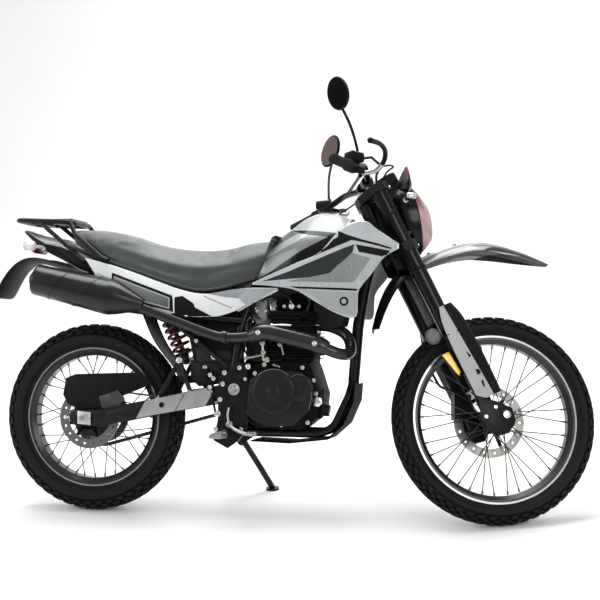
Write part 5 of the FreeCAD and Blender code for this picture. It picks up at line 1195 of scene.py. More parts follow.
def screen_paint():
    """Small screen in deep red plastic, almost black at its foot."""
    m = Mat("screen_red")
    x = m.xyz(m.coords("steering"))
    k = m.span(m.math("ADD", x["Z"], m.math("MULTIPLY", x["X"], 1.2)), 1.60, 1.655, 0, 1)
    m.link(m.mix(k, (.003, .002, .0025), (.060, .003, .008)), m.b.inputs["Base Color"])
    m.link(m.span(m.noise(30, 4), .3, .7, .44, .54), m.b.inputs["Roughness"])
    m.b.inputs["Specular IOR Level"].default_value = .1
    m.bump(m.noise(900, 2), .05, .0003, .0006)
    return m.m


hb.object("headlight_body", "steering", [BLACK_GLOSS, screen_paint()], 42, replaces="headlight_shell")


def lens_glass():
    """Moulded front glass with fine upright flutes; its colour is painted reflection: washed pink by the reflected
    light, deep red on its upper part for the red screen above it.
    """
    m = Mat("headlight_glass")
    x = m.xyz(m.coords("steering"))
    w = m.node("TexWave", bands_direction="Y")
    w.inputs["Scale"].default_value, w.inputs["Distortion"].default_value = 26, .4
    m.link(m.coords("steering"), w.inputs[0])
    # top: the upper part of the glass, painted deep red as the reflection of the screen above
    top = m.span(m.math("ADD", x["Z"], m.math("MULTIPLY", m.noise(18, 4), .05)), 1.05, 1.10, 0, 1)
    soft = m.ramp(m.noise(16, 5, .7), [(.3, (.46, .22, .25)), (.55, (.62, .42, .43)), (.75, (.74, .66, .66))])
    m.link(m.mix(top, soft, (.20, .015, .03)), m.b.inputs["Base Color"])
    m.link(m.span(m.noise(40, 4), .3, .7, .06, .14), m.b.inputs["Roughness"])
    m.set(Coat_Weight=1.0, Transmission_Weight=.35, IOR=1.35)
    m.bump(w.outputs[0], .16, .0008)
    return m.m


lb = Build()
lens_rows = [(419.6, 1022, 88, 116, .23), (430, 1021, 85, 112, .225), (444, 1018, 76, 100, .21), (460, 1013, 61, 82, .19), (474, 1009, 46, 64, .17), (480, 1006, 34, 48, .16)]
lr = [loop16(*r) for r in values(lens_rows, [i / 16 for i in range(17)])]
lr = [loop16(417, 1022, 87, 115, .23)] + lr + [loop16(482.5, 1005.5, 20, 28, .16), loop16(483.5, 1005, 5, 7, .16)]
lb.grid(lr, 0, True, True)
lb.object("headlight_glass", "steering", lens_glass(), 40, replaces="headlight_lens")

# ------------------------------------------------------------------ instruments
ib = Build()
R32 = Matrix.Rotation(rad(-32), 3, "Y")
axd = R32 @ Vector((0, 0, 1))
for y_, r_ in ((-30, 38), (44, 28)):
    p = Vector((338, y_, 1116))
    ib.lathe([(0, r_ * .55), (2, r_ * .8), (10, r_ * .96), (26, r_), (40, r_), (43, r_ - .6), (44, r_ - 2), (43, r_ - 4), (41, r_ - 5)], p, axd, 40)
ib.block(Vector((340, 0, 1120)) + R32 @ Vector((0, -3, -5)), (60, 116, 16), R32, 5)
ib.block(Vector((318, 8, 1152)) + R32 @ Vector((-6, 0, -14)), (22, 36, 20), R32, 4)
ib.object("instrument_pods", "steering", BLACK_PLASTIC, 40, replaces="instruments")


def dial(name, centre, r_mm):
    """Dial face: dark with a pale ring of plain tick marks; no figures."""
    m = Mat(name)
    m.link(m.ramp(m.noise(30, 4), [(.3, (.010, .011, .013)), (.7, (.018, .019, .021))]), m.b.inputs["Base Color"])
    m.link(m.span(m.noise(30, 4), .3, .7, .1, .2), m.b.inputs["Roughness"])
    m.set(Coat_Weight=1.0)
    m.bump(m.noise(800, 2), .03, .0003)
    return m.m


db = Build()
for y_, r_ in ((-30, 38), (44, 28)):
    p = Vector((338, y_, 1116))
    db.lathe([(38, r_ - 4.2), (41.2, r_ - 4.4), (41.6, r_ - 8), (41.9, 1)], p, axd, 40)
db.object("dial_glass", "steering", dial("dial_dark", None, 0), 30)
db = Build()
for y_, r_ in ((-30, 38), (44, 28)):
    p = Vector((338, y_, 1116)) + axd * 42.0
    e1 = Vector((0, 1, 0))
    e2 = axd.cross(e1).normalized()
    for k in range(28):
        a = rad(-230 + 280 * k / 27)
        L = 6 if k % 3 == 0 else 3
        d_ = e1 * cos(a) + e2 * -sin(a)
        t_ = axd.cross(d_).normalized()
        q0, q1 = p + d_ * (r_ - 7 - L), p + d_ * (r_ - 7)
        w_ = .7
        db.add([q0 - t_ * w_, q1 - t_ * w_, q1 + t_ * w_, q0 + t_ * w_, q0 - t_ * w_ + axd * .5, q1 - t_ * w_ + axd * .5, q1 + t_ * w_ + axd * .5, q0 + t_ * w_ + axd * .5], [[3, 2, 1, 0], [4, 5, 6, 7], [0, 1, 5, 4], [1, 2, 6, 5], [2, 3, 7, 6], [3, 0, 4, 7]])
    a = rad(-200)
    d_ = e1 * cos(a) + e2 * -sin(a)
    db.rod(p, p + d_ * (r_ - 12), 1.1, seg=8)
db.object("dial_marks", "steering", plain("dial_white", (.60, .60, .58), .5, 0, 0, .1, 20, 900, .05), 30)

# ------------------------------------------------------------------ mirrors
def mirror_head(side, c, bend):
    R = Matrix.Rotation(rad(36), 3, "Z") @ Matrix.Rotation(rad(24 * side), 3, "X")
    rows = []
    for x, a, b in ((-5.5, 32, 50), (-5.8, 37.5, 56), (-6, 39.6, 59), (-3.5, 41.4, 61.5), (0, 41.8, 62), (5, 40, 59.5), (8, 37.8, 56), (11.5, 34.2, 50.6), (14, 29.8, 44), (17, 22.6, 34), (19, 15.4, 23), (19.6, 5.5, 8)):
        rows.append([Vector(c) + R @ Vector((x, a * cos(2 * pi * k / 44), b * sin(2 * pi * k / 44))) for k in range(44)])
    b = Build()
    b.grid(rows, 0, True, True)
    m0 = Vector((178, side * 262, 1130))
    b.tube([m0, (m0.x - 2, m0.y + side * 2, m0.z + 30), bend, (c[0] + 8, c[1] - side * 6, c[2] - 34)], 4.6, 14, 12)
    b.lathe([(0, 7), (1, 8), (30, 8), (33, 7), (36, 5.5)], m0 - Vector((0, 0, 8)), (-.03, side * .02, 1), 6)
    g = Build()
    rows = []
    for x, a, bb in ((-5.4, 36.8, 56.4), (-6.6, 37, 56.6), (-6.8, 36, 55), (-6.8, 4, 6)):
        rows.append([Vector(c) + R @ Vector((x, a * cos(2 * pi * k / 44), bb * sin(2 * pi * k / 44))) for k in range(44)])
    g.grid(rows, 0, True, True)
    return b, g


# Mirror glass coloured as painted reflection: near black on the right, sepia on the left, for what each mirror shows,
# not a tint of the glass.
def mirror_glass(name, dark):
    m = Mat(name)
    m.link(m.ramp(m.noise(9, 3), [(.3, [c * .9 for c in dark]), (.7, [c * 1.1 for c in dark])]), m.b.inputs["Base Color"])
    m.link(m.span(m.noise(60, 4), .3, .7, .03, .08), m.b.inputs["Roughness"])
    m.set(Metallic=1.0)
    m.bump(m.noise(300, 2), .02, .0002)
    return m.m


mb_, mg = Build(), []
for side, c, bend in ((-1, (92, -368, 1312), (142, -318, 1225)), (1, (196, 352, 1368), (186, 318, 1262))):
    b, g = mirror_head(side, c, bend)
    mb_.add(b.v, b.f, 0)
    g.object("mirror_glass_" + ("right" if side < 0 else "left"), "steering", mirror_glass("mirror_painted_reflection_" + ("dark" if side < 0 else "sepia"), (.012, .008, .009) if side < 0 else (.25, .20, .17)), 40)
mb_.object("mirror_bodies", "steering", BLACK_SATIN, 40, replaces="mirrors")

# ------------------------------------------------------------------ grips, levers, switches
BARX, BARZ = 252, 1124
P3, P4 = Vector((BARX - 88, -262, BARZ - 16)), Vector((BARX - 180, -412, BARZ - 42))
gd = (P4 - P3).normalized()
g0 = P4 - gd * 126
gr = Build()
prof = [(0, 17), (.6, 21.5), (4.4, 21.5), (5, 17.5)]
for i in range(15):
    prof += [(8 + i * 7.6, 15.2), (9.4 + i * 7.6, 16.3), (13.6 + i * 7.6, 16.3), (15 + i * 7.6, 15.2)]
prof += [(124, 16.2), (126.2, 16.6), (128.6, 15), (129, 11)]
gr.lathe(prof, g0, gd, 34)
gr.mirrored()
gr.object("grip_rubbers", "steering", RUBBER, 50, replaces="grips")

hsx = Build()
h0 = g0 - gd * 50
hc = (h0 + g0) * .5
hsx.lathe([(0, 18), (1.5, 21), (22, 21), (23, 20), (24, 21), (46, 21), (48, 18)], h0, gd, 32)
R28 = Matrix.Rotation(rad(28), 3, "Z")
hsx.block((hc.x + 12, hc.y + 6, hc.z + 29), (52, 44, 28), R28, 5)
hsx.rod((hc.x + 6, hc.y + 12, hc.z - 6), (hc.x + 46, hc.y + 2, hc.z - 12), 11)
hsx.rod((188, -252, 1080), (188, -252, 1103), 7)
hsx.rod(h0 + gd * 14 + Vector((-20, -6, 0)), h0 + gd * 14 + Vector((-26, -8, 2)), 5)
hsx.rod(h0 + gd * 30 + Vector((-18, -8, 4)), h0 + gd * 30 + Vector((-25, -11, 6)), 4)
hsx.mirrored()
hsx.object("control_housings", "steering", BLACK_PLASTIC, 40, replaces="hand_controls")
cp = Build()
cp.block((hc.x + 12, hc.y + 6, hc.z + 44.5), (50, 42, 3.5), R28, 1.2)
for dx_, dy_ in ((-18, -14), (18, -14), (-18, 14), (18, 14)):
    q = R28 @ Vector((dx_, dy_, 0))
    cp.bolt((hc.x + 12 + q.x, hc.y + 6 + q.y, hc.z + 46), (0, 0, 1), 2.6, 1.6, washer=False)
cp.mirrored()
cp.object("reservoir_caps", "steering", ALU, 36)

LEV = [(188, -252, 1092), (212, -258, 1095), (240, -272, 1103), (254, -300, 1122), (248, -344, 1141), (222, -390, 1147), (180, -440, 1139)]


def lever_finish():
    """Forged lever: bare metal at its root, rubber sleeve over the finger part."""
    m = Mat("lever_finish")
    x = m.xyz(m.coords("steering"))
    k = m.span(m.math("ABSOLUTE", x["Y"]), .2945, .2955, 0, 1)
    n = m.noise(30, 4)
    m.link(m.mix(k, m.ramp(n, [(.3, (.34, .34, .34)), (.7, (.46, .46, .46))]), (.0025, .0025, .003)), m.b.inputs["Base Color"])
    m.b.inputs["Specular IOR Level"].default_value = .12
    m.link(m.span(k, 0, 1, 1, 0), m.b.inputs["Metallic"])
    m.link(m.span(n, .3, .7, .3, .44), m.b.inputs["Roughness"])
    m.bump(m.noise(700, 3), .12, .0004, .0006)
    return m.m


lv = Build()
lv.tube(LEV, [7, 8.5, 8.5, 8, 8, 8, 8.5], 16, 10, flat=1)
lv.lathe([(-9.5, 1.5), (-7, 6.6), (0, 10), (7, 6.6), (9.5, 1.5)], LEV[-1], (-.6, -.7, -.1), 22)
lv.mirrored()
lv.object("lever_blades", "steering", lever_finish(), 45, replaces="hand_levers")

# clutch and throttle cables
cb = Build()
cb.tube([(214, 252, 1100), (290, 210, 1150), (336, 120, 1180), (330, 40, 1178), (282, 24, 1096), (262, 27, 1062)], 3.2, 10, 12)
cb.tube([(206, -246, 1098), (282, -196, 1142), (330, -96, 1172), (322, -30, 1172), (280, -26, 1094), (260, -28, 1062)], 3.2, 10, 12)
cb.object("control_cables", "steering", RUBBER, 60)

sp_ = Build()
sp_.extrude([(270, 1050), (345, 1108), (392, 1112), (408, 1060), (420, 930), (404, 838), (352, 826), (330, 868), (296, 960)], -60, -63, 0, 1.2)
sp_.mirrored()
sp_.grid([[(x_, -62, z_), (x_ + 3, -62, z_), (x_ + 3, 62, z_), (x_, 62, z_)] for x_, z_ in ((392, 880), (396, 860), (392, 842), (378, 830))], 0, True, True)
sp_.grid(inner_, 0, True, True)
sp_.object("headlight_stays", "steering", BLACK_PLASTIC, 36)
ab_ = Build()
for s_ in (-1, 1):
    ab_.bolt((FRONT.x, s_ * 147, FRONT.z), (0, s_, 0), 9, 5)
    for z_, q_ in ((372, 14), (340, -34)):
        ab_.bolt((leg_at(z_, 1).x + q_ + 4, s_ * 138, z_), (0, s_, 0), 5, 3)
    for x_, z_ in ((262, 1094), (300, 1094), (282, 1126)):
        ab_.bolt((x_, s_ * (52 if z_ < 1120 else 26), z_ + 6), (-.45, 0, .89), 6.5, 6)
    ab_.bolt(leg_at(1082, s_) + FWD * 36, FWD, 5, 5)
    ab_.bolt(leg_at(888, s_) + FWD * 36, FWD, 5, 4)
ab_.lathe([(0, 15), (2, 16), (8, 16), (10, 13)], axis_at(1094), UP, 6)
ab_.object("front_bolts", "steering", plain("bright_bolt_front", (.62, .62, .61), .22, 1.0, 0, .08, 24, 1200, .06, .08), 34)
rs2 = Build()
for s_ in (-1, 1):
    rs2.extrude([(232, 1132), (286, 1124), (306, 1084), (284, 1078), (262, 1090)], s_ * 30, s_ * 54, 0, 3)
rs2.object("bar_clamps", "steering", ALU, 36)

# ------------------------------------------------------------------ engine
# case and covers: their pale edge colour is partly wear and partly a painted highlight on the edges
CASE_DARK = plain("case_dark", (.0036, .0036, .0040), .62, .0, 0, .22, 18, 620, .55, .10, .0010, ((.10, .10, .10), .6), spec=.08)
COVER_DARK = plain("cover_dark", (.0085, .0085, .0095), .38, .0, .0, .18, 14, 900, .18, .10, .0010, ((.16, .16, .16), .7), spec=.16)
BOLT = plain("bright_bolt", (.62, .62, .61), .22, 1.0, 0, .08, 24, 1200, .06, .08)
en = Build()
en.extrude([(-138, 350), (-96, 306), (60, 304), (118, 350), (126, 420), (100, 500), (88, 528), (-78, 528), (-120, 512), (-138, 470)], -96, 96, 0, 4)
en.extrude([(-118, 352), (-60, 312), (44, 318), (100, 372), (108, 430), (70, 496), (-40, 508), (-108, 470)], -92, -134, 1, 7)
for k in range(7):
    en.block((-20 + k * 12, 0, 302), (5, 150, 10), r=2)
en.lathe([(0, 80), (3, 80), (5, 77), (18, 76), (24, 74), (28, 68), (30, 58), (29, 54), (29, 20), (31, 17), (33, 8)], (-23, -120, 429), (0, -1, 0), 60, 1)
en.lathe([(0, 44), (2, 45), (8, 44), (11, 40), (12, 30), (10, 27), (10, 10), (12, 8)], (62, -128, 446), (0, -1, 0), 44, 1)
en.lathe([(0, 74), (30, 73), (38, 68), (42, 58), (43, 40), (40, 37), (40, 12), (42, 9)], (14, 92, 416), (0, 1, 0), 56, 1)
en.lathe([(0, 30), (12, 30), (15, 26), (15, 8)], (-96, 95, 432), (0, 1, 0), 36, 1)
for x_, z_ in ((-92, 490), (90, 330), (108, 470), (70, 512), (-60, 520), (-112, 360), (0, 320)):
    en.lathe([(0, 11), (22, 9), (24, 6)], (x_, -95, z_), (0, -1, 0), 16)
en.rod((-72, -58, 560), (-72, 62, 560), 29, 2, 30)
en.rod((-72, -66, 560), (-72, -58, 560), 20, 2, 24)
en.rod((-40, -40, 540), (-90, -40, 540), 12, 2, 18)
en.block((-58, 0, 536), (70, 110, 20), r=5)
for y_ in (-66, 66):
    en.rod((112, y_, 350), (128, y_, 350), 9)
en.block((112, 0, 410), (30, 80, 60), r=6)
en.lathe([(0, 24), (8, 24), (10, 21), (30, 20), (34, 16)], (112, -20, 372), (1, 0, -.2), 28, 1)
en.object("engine_case", "chassis", [CASE_DARK, COVER_DARK], 36, replaces="crankcase")

rg = Build()
# bright metal lip along the upper half of the clutch cover and along the edge of the side cover: a painted highlight
# where the top light catches their rims
for (cx_, cz_, r_, y_, a0, a1, q_) in ((-23, 429, 76.5, -143, 46, 140, 1.9), (62, 446, 43, -138.5, 60, 150, .9)):
    rg.tube([(cx_ + r_ * cos(rad(a)), y_, cz_ + r_ * sin(rad(a))) for a in range(a0, a1 + 1, 10)], [.5] + [q_] * (len(range(a0, a1 + 1, 10)) - 2) + [.5], 8, 3)
rg.tube([(96, -135, 372), (104, -135, 428), (70, -135, 490)], .9, 8, 4)
rg.object("cover_lips", "chassis", plain("rim_highlight_lip", (.16, .16, .16), .3, 1.0, 0, .1, 24, 900, .1, .08), 40)

bo = Build()
for x_, y_, z_, r_ in ((70, -120, 512, 6), (108, -120, 470, 6), (33, -146, 447, 4), (112, -97, 425, 6), (90, -120, 330, 6), (-92, -120, 490, 6), (-60, -120, 520, 6), (-112, -120, 360, 6), (0, -120, 320, 6), (-118, -112, 512, 8), (-148, -111, 508, 6.5), (-128, -111, 470, 4.5)):
    bo.bolt((x_, y_, z_), (0, -1, 0), r_ * .86, r_ * .5)
bo.lathe([(0, 17), (2, 18), (7, 18), (9, 15), (10, 6)], (118, -98, 399), (0, -1, 0), 6)
bo.lathe([(0, 19), (3, 21), (6, 20), (6.5, 13), (16, 12.5), (18, 11), (18.5, 3)], (-165, -112, 435), (0, -1, 0), 28)
bo.lathe([(0, 19), (3, 21), (6, 20), (6.5, 13), (16, 12.5), (18, 11), (18.5, 3)], (-165, 112, 435), (0, 1, 0), 28)
for x_, z_ in ((-200, 490), (-206, 452), (-214, 400), (-222, 352), (-228, 300), (-140, 300)):
    bo.bolt((x_, -111, z_), (0, -1, 0), 6 if z_ != 352 else 8, 4)
    bo.bolt((x_, 111, z_), (0, 1, 0), 6, 4)
for a in range(0, 360, 60):
    bo.bolt((14 + 56 * cos(rad(a + 15)), 133.5, 416 + 56 * sin(rad(a + 15))), (0, 1, 0), 4.5, 3.4)
bo.object("engine_bolts", "chassis", BOLT, 34)

# cylinder with rounded fins
def rrect(z, hx, hy, r, per=5, cx=22, cy=0):
    pts = []
    for sx, sy, a0 in ((1, 1, 0), (-1, 1, 90), (-1, -1, 180), (1, -1, 270)):
        for k in range(per + 1):
            a = rad(a0 + 90 * k / per)
            pts.append(Vector((cx + sx * (hx - r) + r * cos(a), cy + sy * (hy - r) + r * sin(a), z)))
    return pts


cy_ = Build()
cy_.grid([rrect(528.3, 70, 68, 14), rrect(530, 74, 72, 14), rrect(640, 74, 72, 14), rrect(642, 72, 70, 14), rrect(642, 76, 78, 14), rrect(698, 76, 78, 14), rrect(700, 74, 76, 14), rrect(702, 66, 50, 14), rrect(734, 64, 48, 14), rrect(738, 60, 44, 14), rrect(738.4, 10, 8, 3)], 0, True, True)
for i in range(13):
    z_ = 540 + 10.5 * i if i < 9 else 648 + 13 * (i - 9)
    a_, w_ = (86, 84) if i < 9 else (82, 88)
    cy_.grid([rrect(z_, a_ - 12, w_ - 12, 10), rrect(z_, a_ - .9, w_ - .9, 13), rrect(z_ + .5, a_, w_, 13), rrect(z_ + 2.6, a_, w_, 13), rrect(z_ + 3.1, a_ - .9, w_ - .9, 13), rrect(z_ + 3.1, a_ - 12, w_ - 12, 10)], 0, True)
for y_ in (-1, 1):
    for x_ in (-30, 4, 40, 74):
        cy_.rod((x_, y_ * 52, 700), (x_, y_ * 58, 716), 8)
cy_.block((22, -64, 716), (60, 30, 26), r=5)
cy_.block((22, 64, 716), (60, 30, 26), r=5)
cy_.rod((60, -82, 676), (78, -112, 690), 11)
cy_.rod((78, -112, 690), (84, -122, 700), 8)
cy_.block((22, 78, 620), (52, 22, 150), r=6)
cy_.block((22, 0, 752), (150, 96, 26), r=8)
cy_.object("cylinder_fins", "chassis", CASE_DARK, 34, replaces="cylinder")
ob = Build()
for x_ in (-28, 6, 40, 72):
    for y_ in (-36, 36):
        ob.bolt((x_, y_, 738), (0, 0, 1), 4, 2, washer=False)
ob.bolt((22, -79.5, 716), (0, -1, 0), 7, 3)
ob.bolt((-4, -79.5, 716), (0, -1, 0), 4, 3)
ob.bolt((48, -79.5, 716), (0, -1, 0), 4, 3)
ob.object("head_bolts", "chassis", BOLT, 34)
ld = Build()
ld.tube([(84, -122, 700), (94, -118, 736), (80, -84, 772), (40, -40, 792)], 4, 10, 12)
ld.tube([(-128, -70, 540), (-134, -66, 600), (-122, -64, 660), (-112, -60, 720), (-104, -50, 764)], 4.5, 10, 10)
ld.tube([(-140, -84, 520), (-146, -82, 590), (-140, -78, 660), (-150, -70, 740)], 3.4, 10, 10)
ld.tube([(-40, -50, 545), (-10, -78, 536), (-60, -84, 532), (-118, -88, 540), (-150, -92, 600)], 3.6, 10, 10)
ld.tube([(-60, -74, 520), (-100, -80, 500), (-130, -84, 470)], 5, 10, 8)
ld.tube([(20, -60, 732), (-10, -72, 760), (-60, -70, 770)], 5, 10, 8)
ld.object("engine_leads", "chassis", RUBBER, 60)

# carburettor and inlet, bare castings with small plated parts
cbm = Build()
cbm.rod((-50, -10, 668), (-150, -10, 694), 21, 3)
cbm.lathe([(-2, 18), (0, 23), (66, 23), (70, 21), (72, 17)], (-86, -10, 622), (0, 0, 1), 34)
cbm.block((-86, -10, 658), (52, 58, 38), r=4)
cbm.lathe([(0, 25), (3, 26), (9, 26), (12, 20), (44, 16), (46, 12)], (-86, -10, 694), (-.05, 0, 1), 30)
cbm.extrude([(-112, 742), (-104, 690), (-82, 664), (-66, 668), (-76, 730)], -44, -58, 0, 3)
cbm.extrude([(-60, 726), (-44, 690), (-26, 684), (-20, 692), (-40, 730)], -46, -58, 0, 3)
cbm.rod((-112, -30, 650), (-86, -52, 650), 7)
cbm.rod((-64, -30, 690), (-40, -62, 676), 5)
cbm.object("carburettor_casting", "chassis", plain("carb_casting", (.30, .30, .295), .42, .7, 0, .2, 26, 700, .4, .12, .001), 38, replaces="carburettor")
cbb = Build()
for x_, y_, z_ in ((-104, -58, 700), (-74, -58, 700), (-86, -40, 622), (-104, -39, 650), (-66, -39, 650), (-48, -58, 706), (-28, -58, 692)):
    cbb.bolt((x_, y_, z_), (0, -1, 0), 4.2, 4)
cbb.rod((-10, -60, 690), (12, -64, 678), 6)
cbb.rod((12, -60, 742), (22, -66, 716), 5.5)
cbb.bolt((-10, -62, 676), (0, -1, 0), 6, 5)
cbb.lathe([(0, 27), (1, 28), (9, 28), (10, 27)], (-124, -10, 687.5), (-.97, 0, .25), 30)
cbb.object("carburettor_fittings", "chassis", BOLT, 36)
sl = Build()
sl.lathe([(0, 22), (3, 26), (14, 26), (17, 22), (26, 22)], (-48, -10, 667), (-.97, 0, .25), 30)
sl.lathe([(0, 25), (6, 31), (14, 31), (20, 27)], (-140, -10, 691), (-.97, 0, .25), 30)
# black blocks and bars under the tank and beside the cylinder fill gaps where the machine looks dark: partly dark inner
# parts, partly painted shade in those gaps
sl.block((-60, -34, 762), (150, 70, 34), r=8)
sl.block((40, -44, 776), (170, 56, 34), r=8)
sl.block((40, 44, 776), (170, 56, 34), r=8)
sl.block((-94, -14, 602), (54, 76, 40), r=8)
sl.block((-104, -20, 556), (34, 90, 74), r=7)
sl.rod((-128, -52, 536), (-124, -52, 640), 9)
sl.rod((-128, 52, 536), (-124, 52, 640), 9)
# black plates under the shroud lobes and behind the engine: partly dark inner surfaces, partly painted shade seen
# through the gaps
sl.extrude([(92, 790), (196, 790), (202, 702), (190, 652), (152, 640), (98, 646)], -57, -61, 0, 1.5)
sl.extrude([(92, 790), (196, 790), (202, 702), (190, 652), (152, 640), (98, 646)], 57, 61, 0, 1.5)
sl.extrude([(-330, 530), (-180, 530), (-176, 470), (-232, 452), (-300, 440), (-330, 470)], -74, -70, 0, 1.2)
sl.extrude([(-330, 530), (-180, 530), (-176, 470), (-232, 452), (-300, 440), (-330, 470)], 74, 70, 0, 1.2)
sl.rod((132, -36, 700), (132, 36, 700), 34)
sl.lathe([(0, 34), (2, 36), (12, 36), (14, 33), (14, 12), (17, 9)], (132, -36, 700), (0, -1, 0), 34)
sl.object("inlet_rubbers_and_dark_fillers", "chassis", RUBBER, 50)

# shift linkage, switches and clamps seen in front of the gearbox
lk = Build()
for a, b, r_ in (((-122, -126, 540), (-66, -122, 552), 4), ((-66, -124, 592), (-62, -126, 536), 5), ((-62, -126, 536), (-40, -128, 532), 6), ((-8, -92, 584), (-2, -92, 552), 4), ((-30, -122, 520), (-6, -122, 512), 5)):
    lk.rod(a, b, r_, seg=16)
for x_, z_, r_ in ((-66, 592, 7), (-62, 560, 6), (-50, 536, 7), (-122, 540, 5), (-6, 588, 6)):
    lk.bolt((x_, -128, z_), (0, -1, 0), r_, 4)
lk.object("linkage", "chassis", plain("plated_links", (.40, .39, .35), .3, 1.0, 0, .16, 28, 800, .15, .1), 36)

# ------------------------------------------------------------------ exhaust
def pipe_finish():
    """Black enamelled pipe with a cool sheen that is stronger along the top of the guard."""
    m = Mat("pipe_enamel")
    x = m.xyz(m.coords("chassis"))
    hot = m.math("MULTIPLY", m.span(x["X"], .02, .22, 0, 1), m.span(m.noise(11, 4), .35, .65, .3, 1))
    base = m.ramp(m.noise(14, 5), [(.3, (.0035, .0045, .0058)), (.7, (.007, .009, .012))])
    m.link(m.mix(m.math("MULTIPLY", hot, .35), base, (.035, .028, .024)), m.b.inputs["Base Color"])
    m.link(m.span(m.noise(12, 4), .3, .7, .19, .25), m.b.inputs["Roughness"])
    m.set(Metallic=.15)
    m.b.inputs["Specular IOR Level"].default_value = .5
    m.bump(m.noise(800, 3), .1, .0005, .0008)
    return m.m


PIPE = pipe_finish()
hp_ = [(74, -22, 655), (112, -24, 653), (150, -26, 648), (196, -34, 626), (216, -48, 600), (222, -84, 562), (200, -122, 558), (160, -142, 572), (118, -147, 588), (74, -148, 602), (30, -148, 611), (-10, -147, 622), (-56, -146, 627), (-110, -139, 613), (-165, -134, 609), (-220, -132, 613), (-276, -133, 630), (-330, -136, 650), (-440, -140, 690), (-500, -144, 711), (-560, -148, 730)]
xb = Build()
xb.tube(hp_, 19, 26, 5)
xb.lathe([(0, 19), (0, 31), (2, 32), (7, 32), (9, 30), (9, 20)], (98, -23, 654), (1, -.02, -.1), 30)
xb.lathe([(0, 20), (1, 24), (16, 24), (17, 20)], (-186, -133, 610), (-1, 0, .05), 30)
# heat guard: open under-side shell wrapped round the pipe
sp = smooth_line([(158, -141, 574), (118, -146, 590), (74, -147, 602), (30, -148, 612), (-14, -147, 622), (-56, -146, 628), (-104, -140, 614)], 7)
rows = []
for i, p in enumerate(sp):
    t = (sp[min(len(sp) - 1, i + 1)] - sp[max(0, i - 1)]).normalized()
    e1 = Vector((0, 1, 0)).cross(t).normalized()
    e2 = t.cross(e1)
    f = i / (len(sp) - 1)
    r_ = 30 - 6 * max(0, (abs(f - .5) - .38) / .12) ** 2
    out_ = [p + e1 * (r_ * cos(rad(a))) + e2 * (r_ * sin(rad(a))) for a in range(-150, 151, 12)]
    in_ = [p + e1 * ((r_ - 2.2) * cos(rad(a))) + e2 * ((r_ - 2.2) * sin(rad(a))) for a in range(150, -151, -12)]
    rows.append(out_ + in_)
xb.grid(rows, 0, True, True)
xb.object("exhaust_header", "chassis", PIPE, 40, replaces="exhaust_pipe")
xc = Build()
for x_, y_, z_ in ((121, -177.5, 592), (-70, -176.5, 626)):
    xc.bolt((x_, y_, z_), (0, -1, .1), 6.5, 4)
xc.tube([(-22, -160, 651), (8, -163, 652), (39, -160, 651)], 3.6, 12, 6)
xc.lathe([(0, 3), (1, 6), (5, 6), (6, 3)], (-24, -160, 651), (-1, 0, 0), 6)
for k in range(2):
    xc.rod((88, -23 + (-34, 34)[k], 655), (112, -23 + (-34, 34)[k], 653), 4.5)
xc.object("exhaust_fixings", "chassis", BOLT, 36)

# ------------------------------------------------------------------ silencer
M0, M1 = Vector((-866, -160, 802)), Vector((-596, -152, 742))
mu = (M1 - M0).normalized()
mf = Build()
ML = (M1 - M0).length
prof = [(-14, 14), (-14, 20), (-2, 20.5), (0, 30), (2, 49), (6, 53), (12, 54)]
prof += [(ML * k / 10 + 12 * (1 - k / 10), 53.2 + 8.8 * k / 10) for k in range(1, 10)] + [(ML - 14, 61.4), (ML - 6, 62), (ML + 8, 60.5), (ML + 30, 54.5), (ML + 70, 40), (ML + 100, 28.5), (ML + 112, 25), (ML + 122, 20.5)]
mf.lathe(prof, M0, mu, 54)
mf.lathe([(-30, 15.5), (-14, 15.5), (-14, 12), (-28, 12)], M0 + mu * 16, mu, 30, 0, False)


def oblique(at, lean, r, w, h=1.4):
    """A raised slanting band round the can."""
    c = M0 + mu * at
    e1 = Vector((0, 1, 0)).cross(mu).normalized()
    e2 = mu.cross(e1)
    rows = []
    for k in range(49):
        a = 2 * pi * (k % 48) / 48
        ctr = c + mu * (lean * cos(a))
        rr = r(at + lean * cos(a))
        d = e1 * cos(a) + e2 * sin(a)
        rows.append([ctr - mu * w + d * (rr - .6), ctr - mu * (w * .8) + d * (rr + h), ctr + mu * (w * .8) + d * (rr + h), ctr + mu * w + d * (rr - .6)])
    return rows


def can_r(t):
    return 54 + 8 * max(0, min(1, t / ML)) if t < ML - 4 else 62 - (t - ML + 4) * .27


for at, lean, w in ((96, -30, 1.6), (196, -38, 5.0)):
    mf.grid(oblique(at, lean, can_r, w), 0)
for k in range(6):
    a = rad(60 * k)
    mf.bolt(M0 + mu * -1 + Vector((0, 40 * cos(a), 40 * sin(a))), -mu, 3.4, 2.4, washer=False)
MUFF = plain("silencer_enamel", (.0050, .0060, .0068), .30, .2, .15, .12, 4, 1500, .015, .02, .0008, spec=.30)
mf.object("silencer", "chassis", MUFF, 40, replaces="muffler")
ms = Build()
e1 = Vector((0, 1, 0)).cross(mu).normalized()
ms.extrude([(-560, 792), (-548, 800), (-520, 742), (-528, 734)], -114, -122, 0, 1.4)
ms.bolt((-540, -123, 774), (0, -1, 0), 5.5, 4)
ms.bolt((-528, -123, 748), (0, -1, 0), 5.5, 4)
ms.object("silencer_bracket", "chassis", DARK_STEEL, 36)

